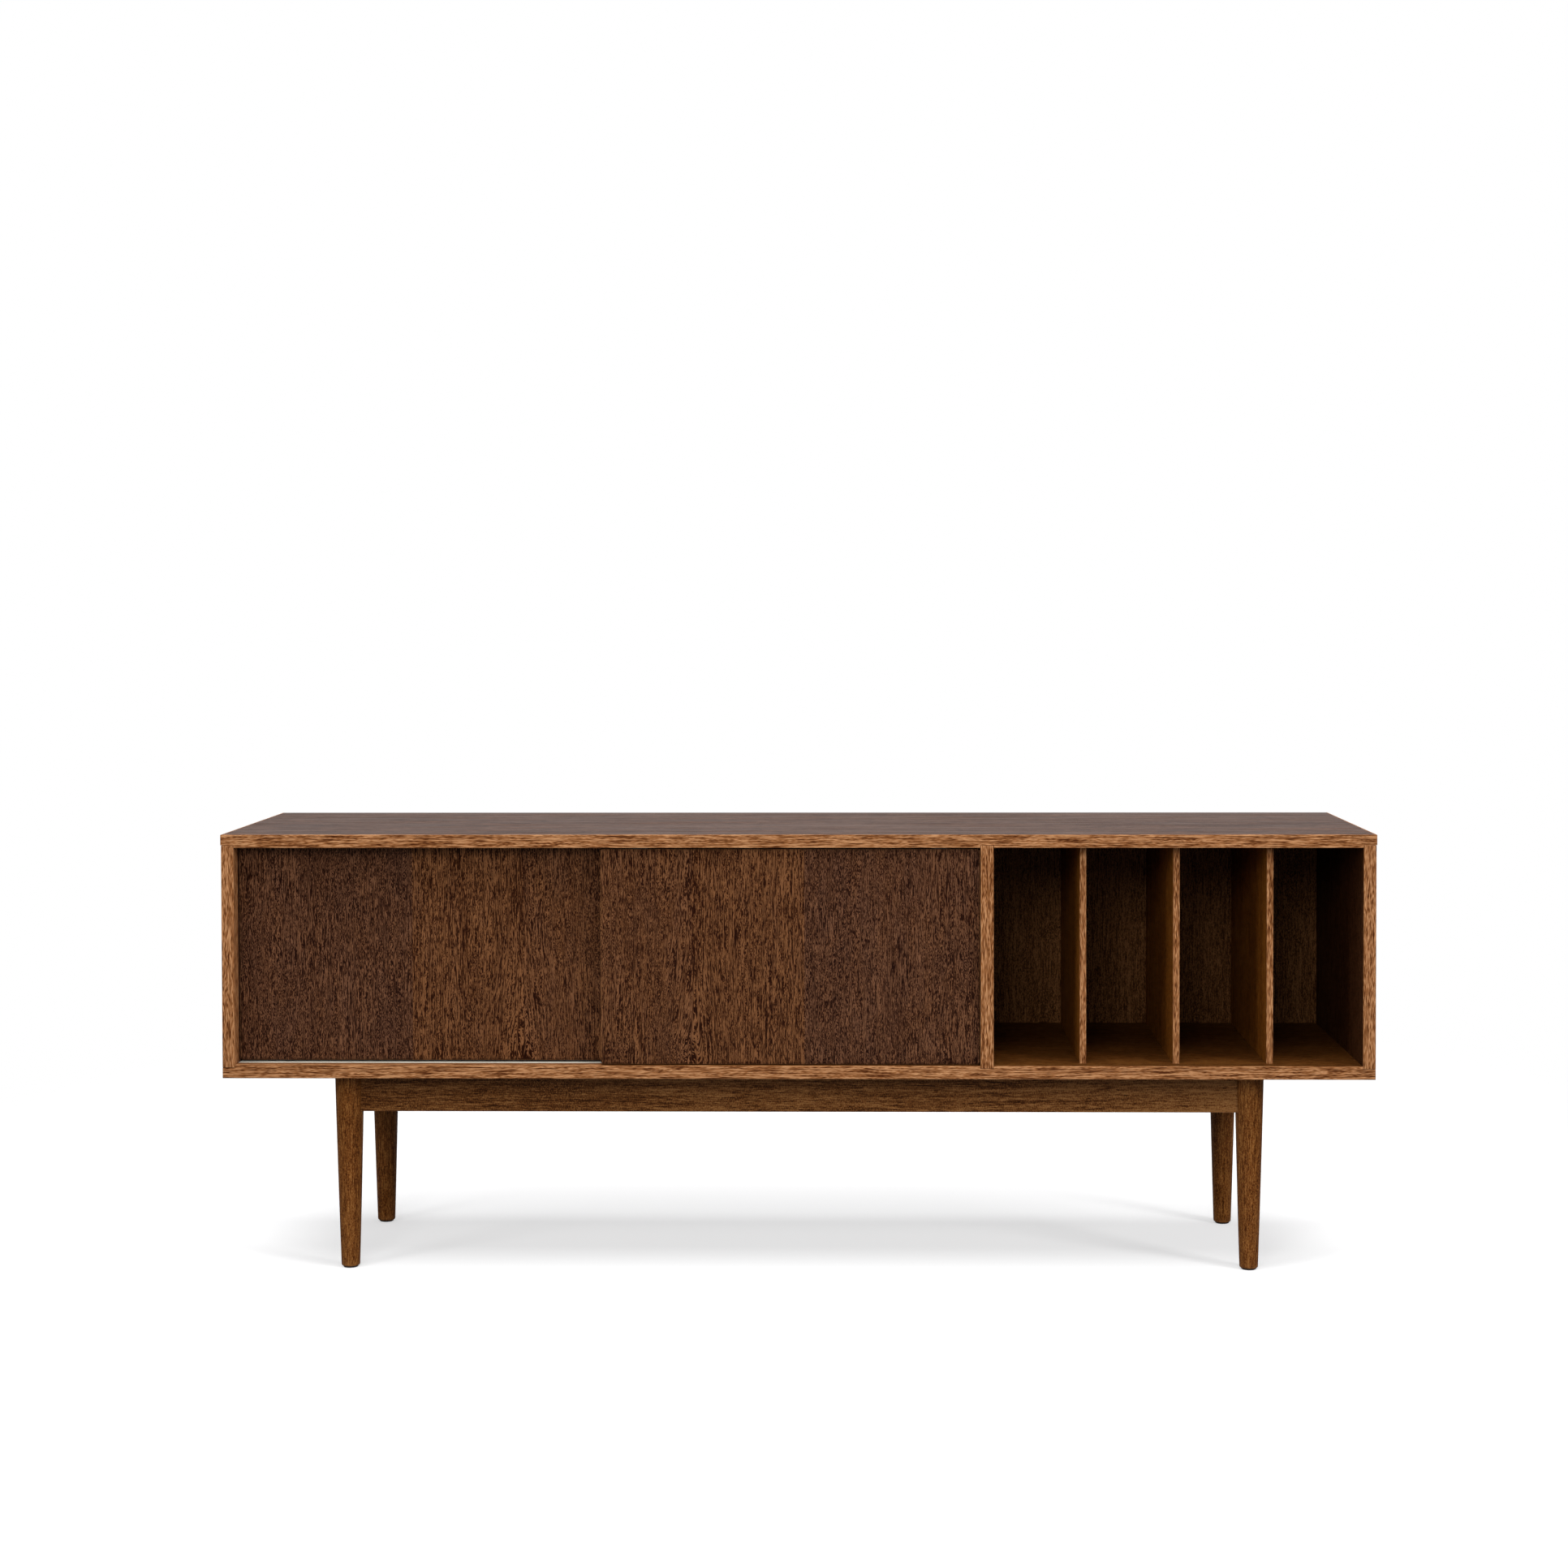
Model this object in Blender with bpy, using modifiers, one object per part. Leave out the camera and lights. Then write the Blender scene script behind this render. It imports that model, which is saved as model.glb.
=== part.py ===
"""A low oak sideboard for a television: a case with two sliding doors and four open bays, on a turned-leg base.

The case's width runs along X, its depth along Y with the front at negative Y, and Z is up.
The origin is on the floor, under the middle of the case. All sizes are in metres.
"""

import math

import bmesh
import bpy
from mathutils import Matrix, Vector

# Case
CASE_WIDTH = 1.748
CASE_DEPTH = 0.420
CASE_HEIGHT = 0.371
BASE_HEIGHT = 0.303
TOP_THICKNESS = 0.020
TOP_OVERHANG = 0.001
BOTTOM_THICKNESS = 0.020
SIDE_THICKNESS = 0.019
LET_IN = 0.004
PANEL_ARRIS = 0.0008

# Back panel, set in a rebate that runs round the rear of the case
BACK_THICKNESS = 0.008
BACK_INSET = 0.0035
BACK_REBATE = 0.009
CABLE_HOLE_RADIUS = 0.030
CABLE_HOLE_HEIGHT = 0.060

# Open bays and what divides the case
BAY_WIDTH = 0.13175
BAY_COUNT = 4
DIVIDER_THICKNESS = 0.010
DIVIDER_SETBACK = 0.026
BAY_PARTITION_THICKNESS = 0.020
MIDDLE_PARTITION_THICKNESS = 0.019
MIDDLE_PARTITION_CLEARANCE = 0.0035

# Shelves behind the doors, and their pins
SHELF_THICKNESS = 0.018
SHELF_SETBACK = 0.007
SHELF_CABLE_GAP = 0.020
SHELF_SIDE_GAP = 0.001
SHELF_ABOVE_FLOOR = 0.157
PIN_RADIUS = 0.0025
PIN_REACH = 0.008
PIN_COLLAR_RADIUS = 0.004
PIN_COLLAR_THICKNESS = 0.0012
PIN_HOLE_DEPTH = 0.0082
PIN_FROM_SHELF_EDGE = 0.045
PIN_ROW_STEP = 0.032
PIN_ROW_STEPS = (-2, 0, 2)

# Sliding doors
FRONT_DOOR_SETBACK = 0.0085
DOOR_THICKNESS = 0.018
DOOR_GAP = 0.005
DOOR_OVERLAP = 0.019
DOOR_END_GAP = 0.001
FRONT_DOOR_FLOOR_GAP = 0.001
REAR_DOOR_FLOOR_GAP = 0.003
DOOR_HEAD_GAP = 0.0025
DOOR_CORNER_RADIUS = 0.0035
DOOR_ARRIS = 0.001

# Tracks: two lanes each, let in flush with the panel that carries them
TRACK_WALL = 0.0012
TRACK_LIP = 0.0010
LANE_WIDTH = 0.005
BOTTOM_LANE_DEPTH = 0.0045
TOP_LANE_DEPTH = 0.008
RUN_CLEARANCE = 0.0005

# Door wheels, their housings and the top guides
WHEEL_RADIUS = 0.008
WHEEL_ROUNDING = 0.0008
AXLE_RADIUS = 0.00125
WHEEL_SLOT_CLEARANCE = 0.001
HOUSING_CHEEK = 0.0022
HOUSING_END = 0.010
HOUSING_ROOF = 0.004
HOUSING_FLOOR_GAP = 0.001
GEAR_FROM_DOOR_END = 0.060
GUIDE_LENGTH = 0.034
GUIDE_SHOULDER = 0.0025
GUIDE_BODY_HEIGHT = 0.014
GUIDE_TOP_CLEARANCE = 0.002

# Base
LEG_INSET_X = 0.1815
LEG_INSET_Y = 0.062
LEG_TOP_DIAMETER = 0.0445
LEG_FOOT_DIAMETER = 0.0282
LEG_SWELL = 0.0009
LEG_FOOT_ROUNDING = 0.0025
LEG_TOP_ARRIS = 0.0008
RAIL_HEIGHT = 0.060
RAIL_THICKNESS = 0.020
RAIL_ARRIS = 0.0012
TENON_THICKNESS = 0.010
TENON_SHOULDER = 0.010
TENON_SHORT_OF_AXIS = 0.0065
BLOCK_LEG = 0.062
BLOCK_TIP = 0.010
BLOCK_THICKNESS = 0.025
BLOCK_LEG_CLEARANCE = 0.001
BOLT_RADIUS = 0.003
BOLT_INTO_CASE = 0.012
BOLT_HEAD_RADIUS = 0.006
BOLT_HEAD_HEIGHT = 0.004
BOLT_SOCKET_RADIUS = 0.0028
BOLT_SOCKET_DEPTH = 0.0025
BOLT_FROM_RAILS = 0.022
GLIDE_RADIUS = 0.0115
GLIDE_THICKNESS = 0.002
GLIDE_ROUNDING = 0.0007
GLIDE_STEM_RADIUS = 0.002
GLIDE_STEM_LENGTH = 0.012

# Gap left between pieces that touch
SEAT_GAP = 0.0003

# How far a cutter runs past the surface that it cuts
PAST = 0.010

# Places that follow from the sizes above
FRONT = -CASE_DEPTH / 2
BACK = CASE_DEPTH / 2
CASE_TOP = BASE_HEIGHT + CASE_HEIGHT
FLOOR = BASE_HEIGHT + BOTTOM_THICKNESS
CEILING = CASE_TOP - TOP_THICKNESS
CASE_RIGHT = CASE_WIDTH / 2
INNER_RIGHT = CASE_RIGHT - SIDE_THICKNESS
INNER_LEFT = -INNER_RIGHT
BACK_FACE = BACK - BACK_INSET - BACK_THICKNESS
PARTITION_RIGHT = INNER_RIGHT - BAY_COUNT * BAY_WIDTH - (BAY_COUNT - 1) * DIVIDER_THICKNESS
PARTITION_LEFT = PARTITION_RIGHT - BAY_PARTITION_THICKNESS
DOOR_OPENING = PARTITION_LEFT - INNER_LEFT
DOOR_WIDTH = (DOOR_OPENING - 2 * DOOR_END_GAP + DOOR_OVERLAP) / 2
FRONT_LANE = FRONT + FRONT_DOOR_SETBACK + DOOR_THICKNESS / 2
REAR_LANE = FRONT_LANE + DOOR_THICKNESS + DOOR_GAP
WHEEL_WIDTH = LANE_WIDTH - 2 * RUN_CLEARANCE
WHEEL_AXIS = FLOOR - BOTTOM_LANE_DEPTH + SEAT_GAP + WHEEL_RADIUS
HOUSING_LOW = FLOOR + HOUSING_FLOOR_GAP
DOOR_HIGH = CEILING - DOOR_HEAD_GAP
MIDDLE_FRONT = REAR_LANE + DOOR_THICKNESS / 2 + MIDDLE_PARTITION_CLEARANCE
MIDDLE_LEFT = (INNER_LEFT + PARTITION_LEFT - MIDDLE_PARTITION_THICKNESS) / 2
MIDDLE_RIGHT = MIDDLE_LEFT + MIDDLE_PARTITION_THICKNESS
SHELF_LOW = FLOOR + SHELF_ABOVE_FLOOR
SHELF_FRONT = MIDDLE_FRONT + SHELF_SETBACK
SHELF_BACK = BACK_FACE - SHELF_CABLE_GAP
BASE_TOP = BASE_HEIGHT - SEAT_GAP
LEG_X = CASE_RIGHT - LEG_INSET_X
LEG_Y = BACK - LEG_INSET_Y
LEG_BOTTOM = GLIDE_THICKNESS + SEAT_GAP
LEG_LENGTH = BASE_TOP - LEG_BOTTOM
TENON_HEIGHT = RAIL_HEIGHT - 2 * TENON_SHOULDER

OBJECT_NAME = "tv_sideboard"
SIDES = (("left", -1), ("right", 1))
ENDS = (("front", -1), ("rear", 1))


def clear_scene():
    """Empties the file, so that the model starts from nothing."""
    for thing in list(bpy.data.objects):
        bpy.data.objects.remove(thing)


def collection(name):
    """A new collection in the scene."""
    group = bpy.data.collections.new(name)
    bpy.context.scene.collection.children.link(group)
    return group


def finish(name, colour, roughness, metallic=0.0):
    """A material with one Principled BSDF."""
    material = bpy.data.materials.new(name)
    material.use_nodes = True
    shader = material.node_tree.nodes["Principled BSDF"]
    shader.inputs["Base Color"].default_value = (*colour, 1.0)
    shader.inputs["Roughness"].default_value = roughness
    shader.inputs["Metallic"].default_value = metallic
    return material


clear_scene()
PIECES = collection(OBJECT_NAME)
CUTTERS = collection("cutters")
OAK = finish("smoked_oak", (0.115, 0.052, 0.024), 0.45)
OAK_DARK = finish("dark_smoked_oak", (0.050, 0.022, 0.012), 0.50)
OAK_SOLID = finish("solid_oak", (0.150, 0.065, 0.028), 0.42)
ALUMINIUM = finish("satin_aluminium", (0.80, 0.79, 0.77), 0.35, 1.0)
STEEL = finish("zinc_plated_steel", (0.55, 0.55, 0.54), 0.35, 1.0)
NYLON = finish("grey_nylon", (0.55, 0.54, 0.52), 0.50)
BLACK_PLASTIC = finish("black_plastic", (0.02, 0.02, 0.02), 0.45)


def add_object(name, mesh, place, material):
    """Puts a mesh in the scene as a piece, or as a cutter where it has no material."""
    thing = bpy.data.objects.new(name, mesh)
    thing.location = place
    if material is None:
        CUTTERS.objects.link(thing)
        thing.display_type = "WIRE"
        thing.hide_render = True
    else:
        PIECES.objects.link(thing)
        if not mesh.materials:
            mesh.materials.append(material)
    return thing


def bevel(thing, width, segments=2):
    """Rounds a piece's edges."""
    rounding = thing.modifiers.new("arris", "BEVEL")
    rounding.width = width
    rounding.segments = segments
    rounding.limit_method = "ANGLE"
    rounding.angle_limit = math.radians(30)
    return rounding


def combine(thing, tool, operation):
    """Cuts a piece with a tool, or joins the tool to it."""
    change = thing.modifiers.new(tool.name, "BOOLEAN")
    change.operation = operation
    change.solver = "EXACT"
    change.object = tool


def cut(thing, *tools):
    """Takes each tool's space out of a piece."""
    for tool in tools:
        combine(thing, tool, "DIFFERENCE")


def join(thing, *tools):
    """Makes each tool's solid part of a piece."""
    for tool in tools:
        combine(thing, tool, "UNION")


def box(name, low, high, material=None, arris=0.0):
    """A box between two corners, with its origin in its middle."""
    low, high = Vector(low), Vector(high)
    shape = bmesh.new()
    bmesh.ops.create_cube(shape, size=1.0)
    bmesh.ops.scale(shape, vec=high - low, verts=shape.verts)
    mesh = bpy.data.meshes.new(name)
    shape.to_mesh(mesh)
    shape.free()
    thing = add_object(name, mesh, (low + high) / 2, material)
    if arris:
        bevel(thing, arris)
    return thing


def grown(low, high, by):
    """The corners of a box that is larger by a clearance on every side."""
    margin = Vector((by, by, by))
    return Vector(low) - margin, Vector(high) + margin


def cylinder(name, centre, radius, length, axis, sides, material=None):
    """A cylinder along a world axis, with its origin in its middle."""
    shape = bmesh.new()
    bmesh.ops.create_cone(
        shape, cap_ends=True, segments=sides, radius1=radius, radius2=radius, depth=length
    )
    turn = {"X": Matrix.Rotation(math.pi / 2, 3, "Y"), "Y": Matrix.Rotation(math.pi / 2, 3, "X")}
    if axis in turn:
        bmesh.ops.rotate(shape, matrix=turn[axis], verts=shape.verts)
    mesh = bpy.data.meshes.new(name)
    shape.to_mesh(mesh)
    shape.free()
    return add_object(name, mesh, centre, material)


def turned_mesh(name, profile, closed=False):
    """The wire of a turned shape: its half outline in the XZ plane, outer side from top to bottom."""
    shape = bmesh.new()
    points = [shape.verts.new((radius, 0.0, height)) for radius, height in profile]
    for first, second in zip(points, points[1:]):
        shape.edges.new((first, second))
    if closed:
        shape.edges.new((points[-1], points[0]))
    mesh = bpy.data.meshes.new(name)
    shape.to_mesh(mesh)
    shape.free()
    return mesh


def turned(name, mesh, place, material, steps, rotation=(0.0, 0.0, 0.0)):
    """Spins a half outline about its own Z axis."""
    thing = add_object(name, mesh, place, material)
    thing.rotation_euler = rotation
    spin = thing.modifiers.new("turning", "SCREW")
    spin.steps = steps
    spin.render_steps = steps
    spin.use_merge_vertices = True
    spin.merge_threshold = 0.00001
    spin.use_smooth_shade = True
    return thing


def prism(name, outline, length, place, rotation, material):
    """A flat outline given thickness along its own Z axis, centred on its origin."""
    curve = bpy.data.curves.new(name + "_outline", "CURVE")
    curve.dimensions = "2D"
    curve.fill_mode = "BOTH"
    curve.extrude = length / 2
    spline = curve.splines.new("POLY")
    spline.points.add(len(outline) - 1)
    for point, (across, up) in zip(spline.points, outline):
        point.co = (across, up, 0.0, 1.0)
    spline.use_cyclic_u = True
    drawn = bpy.data.objects.new(name + "_outline", curve)
    PIECES.objects.link(drawn)
    bpy.context.view_layer.update()
    seen = drawn.evaluated_get(bpy.context.evaluated_depsgraph_get())
    mesh = bpy.data.meshes.new_from_object(seen)
    mesh.name = name
    shape = bmesh.new()
    shape.from_mesh(mesh)
    bmesh.ops.remove_doubles(shape, verts=shape.verts, dist=0.00001)
    shape.to_mesh(mesh)
    shape.free()
    bpy.data.objects.remove(drawn)
    thing = add_object(name, mesh, place, material)
    thing.rotation_euler = rotation
    return thing


def carry(parent, *children):
    """Parents pieces to the piece that carries them, where they are."""
    bpy.context.view_layer.update()
    for child in children:
        child.parent = parent
        child.matrix_parent_inverse = parent.matrix_world.inverted()


def back_pocket():
    """The rebate for the back panel: one cutter for the four panels round it."""
    return box(
        "back_pocket",
        (INNER_LEFT - BACK_REBATE, BACK_FACE - SEAT_GAP, FLOOR - BACK_REBATE),
        (INNER_RIGHT + BACK_REBATE, BACK + PAST, CEILING + BACK_REBATE),
    )


def upright_pockets():
    """The dadoes and end rebates that the uprights stand in, as cutters for the top and bottom panels."""
    low, high = FLOOR - LET_IN, CEILING + LET_IN
    pockets = []
    for side, sign in SIDES:
        inner, outer = sign * (INNER_RIGHT - SEAT_GAP), sign * (CASE_RIGHT + PAST)
        pockets.append(
            box(
                side + "_side_pocket",
                (min(inner, outer), FRONT - PAST, low),
                (max(inner, outer), BACK + PAST, high),
            )
        )
    uprights = [
        ("bay_partition_pocket", PARTITION_LEFT, PARTITION_RIGHT, FRONT - PAST),
        ("middle_partition_pocket", MIDDLE_LEFT, MIDDLE_RIGHT, MIDDLE_FRONT - SEAT_GAP),
    ]
    for number, left in enumerate(divider_places(), start=1):
        name = "bay_divider_pocket_" + str(number)
        uprights.append((name, left, left + DIVIDER_THICKNESS, FRONT + DIVIDER_SETBACK - SEAT_GAP))
    for name, left, right, front in uprights:
        pockets.append(
            box(name, (left - SEAT_GAP, front, low), (right + SEAT_GAP, BACK_FACE, high))
        )
    return pockets


def divider_places():
    """The left face of each thin bay divider."""
    pitch = BAY_WIDTH + DIVIDER_THICKNESS
    return [PARTITION_RIGHT + BAY_WIDTH + pitch * number for number in range(BAY_COUNT - 1)]


def track_outline(lane_depth):
    """A track's cross-section: a flat web with two channels, drawn with its visible face at height 0."""
    half = LANE_WIDTH / 2
    middle = (FRONT_LANE + REAR_LANE) / 2
    lanes = (FRONT_LANE - middle, REAR_LANE - middle)
    edge = lanes[1] + half + TRACK_WALL + TRACK_LIP
    face, under = [(-edge, 0.0)], [(-edge, -TRACK_WALL)]
    for lane in lanes:
        face += [(lane - half, 0.0), (lane - half, -lane_depth)]
        face += [(lane + half, -lane_depth), (lane + half, 0.0)]
        wall = half + TRACK_WALL
        under += [(lane - wall, -TRACK_WALL), (lane - wall, -lane_depth - TRACK_WALL)]
        under += [(lane + wall, -lane_depth - TRACK_WALL), (lane + wall, -TRACK_WALL)]
    face.append((edge, 0.0))
    under.append((edge, -TRACK_WALL))
    return face + under[::-1]


def track_pockets(name, face, lane_depth, into):
    """The routed seat of a track: a shallow bed and two grooves, each a cutter, into the panel's face."""
    half_web = (REAR_LANE - FRONT_LANE) / 2 + LANE_WIDTH / 2 + TRACK_WALL + TRACK_LIP
    middle = (FRONT_LANE + REAR_LANE) / 2
    half_groove = LANE_WIDTH / 2 + TRACK_WALL
    beds = [("bed", middle, half_web, TRACK_WALL)]
    beds += [
        ("front_groove", FRONT_LANE, half_groove, TRACK_WALL + lane_depth),
        ("rear_groove", REAR_LANE, half_groove, TRACK_WALL + lane_depth),
    ]
    tools = []
    for part, centre, half, depth in beds:
        inside, outside = face + into * (depth + SEAT_GAP), face - into * PAST
        low = (INNER_LEFT, centre - half - SEAT_GAP, min(inside, outside))
        high = (PARTITION_LEFT, centre + half + SEAT_GAP, max(inside, outside))
        tools.append(box(name + "_" + part, low, high))
    return tools


def make_track(name, face, lane_depth, into):
    """A twin-lane track between the left side panel and the bay partition."""
    middle = (INNER_LEFT + PARTITION_LEFT) / 2
    length = DOOR_OPENING - 2 * SEAT_GAP
    place = (middle, (FRONT_LANE + REAR_LANE) / 2, face)
    turn = Matrix.Rotation(math.pi / 2, 4, "Z") @ Matrix.Rotation(math.pi / 2, 4, "X")
    if into > 0:
        turn = turn @ Matrix.Rotation(math.pi, 4, "Z")
    return prism(name, track_outline(lane_depth), length, place, turn.to_euler(), ALUMINIUM)


def make_case():
    """The case's panels, with the pockets that hold them together."""
    back_cut = back_pocket()
    uprights = upright_pockets()
    top = box(
        "top_panel",
        (-CASE_RIGHT - TOP_OVERHANG, FRONT, CEILING),
        (CASE_RIGHT + TOP_OVERHANG, BACK, CASE_TOP),
        OAK,
        PANEL_ARRIS,
    )
    cut(top, back_cut, *uprights, *track_pockets("top_track", CEILING, TOP_LANE_DEPTH, 1))
    bottom = box(
        "bottom_panel",
        (-CASE_RIGHT, FRONT, BASE_HEIGHT),
        (CASE_RIGHT, BACK, FLOOR),
        OAK,
        PANEL_ARRIS,
    )
    cut(bottom, back_cut, *uprights, *track_pockets("bottom_track", FLOOR, BOTTOM_LANE_DEPTH, -1))
    low, high = FLOOR - LET_IN + SEAT_GAP, CEILING + LET_IN - SEAT_GAP
    for side, sign in SIDES:
        inner, outer = sign * INNER_RIGHT, sign * CASE_RIGHT
        panel = box(
            side + "_side_panel",
            (min(inner, outer), FRONT, low),
            (max(inner, outer), BACK, high),
            OAK,
            PANEL_ARRIS,
        )
        cut(panel, back_cut)
    rear = BACK_FACE - 2 * SEAT_GAP
    box("bay_partition", (PARTITION_LEFT, FRONT, low), (PARTITION_RIGHT, rear, high), OAK, PANEL_ARRIS)
    box(
        "middle_partition",
        (MIDDLE_LEFT, MIDDLE_FRONT, low),
        (MIDDLE_RIGHT, rear, high),
        OAK_DARK,
        PANEL_ARRIS,
    )
    for number, left in enumerate(divider_places(), start=1):
        box(
            "bay_divider_" + str(number),
            (left, FRONT + DIVIDER_SETBACK, low),
            (left + DIVIDER_THICKNESS, rear, high),
            OAK,
            PANEL_ARRIS,
        )
    panel = box(
        "back_panel",
        (INNER_LEFT - BACK_REBATE + SEAT_GAP, BACK_FACE, FLOOR - BACK_REBATE + SEAT_GAP),
        (
            INNER_RIGHT + BACK_REBATE - SEAT_GAP,
            BACK_FACE + BACK_THICKNESS,
            CEILING + BACK_REBATE - SEAT_GAP,
        ),
        OAK_DARK,
        PANEL_ARRIS / 2,
    )
    for side, left, right in compartments():
        centre = ((left + right) / 2, BACK_FACE, FLOOR + CABLE_HOLE_HEIGHT)
        cut(panel, cylinder(side + "_cable_hole", centre, CABLE_HOLE_RADIUS, 2 * PAST + BACK_THICKNESS, "Y", 32))
    make_track("bottom_track", FLOOR, BOTTOM_LANE_DEPTH, -1)
    make_track("top_track", CEILING, TOP_LANE_DEPTH, 1)
    return bottom


def compartments():
    """The two compartments behind the doors: a name, and the faces to their left and right."""
    return (("left", INNER_LEFT, MIDDLE_LEFT), ("right", MIDDLE_RIGHT, PARTITION_LEFT))


def pin_profile():
    """A shelf pin, drawn standing up: the shelf's end at the top, a collar, and the end in the hole below."""
    collar = PIN_COLLAR_THICKNESS
    return [
        (0.0, PIN_REACH),
        (PIN_RADIUS - 0.0005, PIN_REACH),
        (PIN_RADIUS, PIN_REACH - 0.0005),
        (PIN_RADIUS, collar + SEAT_GAP),
        (PIN_COLLAR_RADIUS, collar + SEAT_GAP),
        (PIN_COLLAR_RADIUS, SEAT_GAP),
        (PIN_RADIUS, SEAT_GAP),
        (PIN_RADIUS, SEAT_GAP - PIN_HOLE_DEPTH + 2 * SEAT_GAP),
        (0.0, SEAT_GAP - PIN_HOLE_DEPTH + 2 * SEAT_GAP),
    ]


def make_shelves():
    """Two adjustable shelves on pins, and the rows of holes that the pins fit."""
    holed = {
        ("left", -1): bpy.data.objects["left_side_panel"],
        ("left", 1): bpy.data.objects["middle_partition"],
        ("right", -1): bpy.data.objects["middle_partition"],
        ("right", 1): bpy.data.objects["bay_partition"],
    }
    pin_mesh = turned_mesh("shelf_pin", pin_profile())
    pin_height = SHELF_LOW - SEAT_GAP - PIN_RADIUS
    rows = (("front", SHELF_FRONT + PIN_FROM_SHELF_EDGE), ("rear", SHELF_BACK - PIN_FROM_SHELF_EDGE))
    for side, left, right in compartments():
        box(
            side + "_shelf",
            (left + SHELF_SIDE_GAP + PIN_COLLAR_THICKNESS, SHELF_FRONT, SHELF_LOW),
            (right - SHELF_SIDE_GAP - PIN_COLLAR_THICKNESS, SHELF_BACK, SHELF_LOW + SHELF_THICKNESS),
            OAK_DARK,
            PANEL_ARRIS,
        )
        for end, (wall, outward) in (("left", (left, -1)), ("right", (right, 1))):
            panel = holed[(side, outward)]
            for row, depth in rows:
                turn = (0.0, -outward * math.pi / 2, 0.0)
                name = "_".join((side, "shelf_pin", row, end))
                turned(name, pin_mesh, (wall, depth, pin_height), STEEL, 12, turn)
                for step in PIN_ROW_STEPS:
                    height = pin_height + step * PIN_ROW_STEP
                    hole = cylinder(
                        "_".join((side, end, row, "pin_hole", str(step))),
                        (wall, depth, height),
                        PIN_RADIUS + SEAT_GAP,
                        2 * PIN_HOLE_DEPTH,
                        "X",
                        12,
                    )
                    cut(panel, hole)


def door_outline(door_low):
    """The face of a door that starts at a height: a rectangle with small round corners."""
    half_width, half_height = DOOR_WIDTH / 2, (DOOR_HIGH - door_low) / 2
    steps = 4
    outline = []
    for quarter, (across, up) in enumerate(((1, -1), (1, 1), (-1, 1), (-1, -1))):
        centre_x = across * (half_width - DOOR_CORNER_RADIUS)
        centre_z = up * (half_height - DOOR_CORNER_RADIUS)
        for step in range(steps + 1):
            angle = (quarter - 1 + step / steps) * math.pi / 2
            outline.append(
                (
                    centre_x + DOOR_CORNER_RADIUS * math.cos(angle),
                    centre_z + DOOR_CORNER_RADIUS * math.sin(angle),
                )
            )
    return outline


def wheel_profile():
    """A door wheel's ring, with its outer edges eased, drawn about its own axis."""
    half = WHEEL_WIDTH / 2
    bore = AXLE_RADIUS + SEAT_GAP
    outer = []
    for step in range(3):
        angle = step / 2 * math.pi / 2
        outer.append(
            (
                WHEEL_RADIUS - WHEEL_ROUNDING * (1 - math.sin(angle)),
                half - WHEEL_ROUNDING * (1 - math.cos(angle)),
            )
        )
    lower = [(radius, -height) for radius, height in reversed(outer)]
    return [(bore, half)] + outer + lower + [(bore, -half)]


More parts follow.
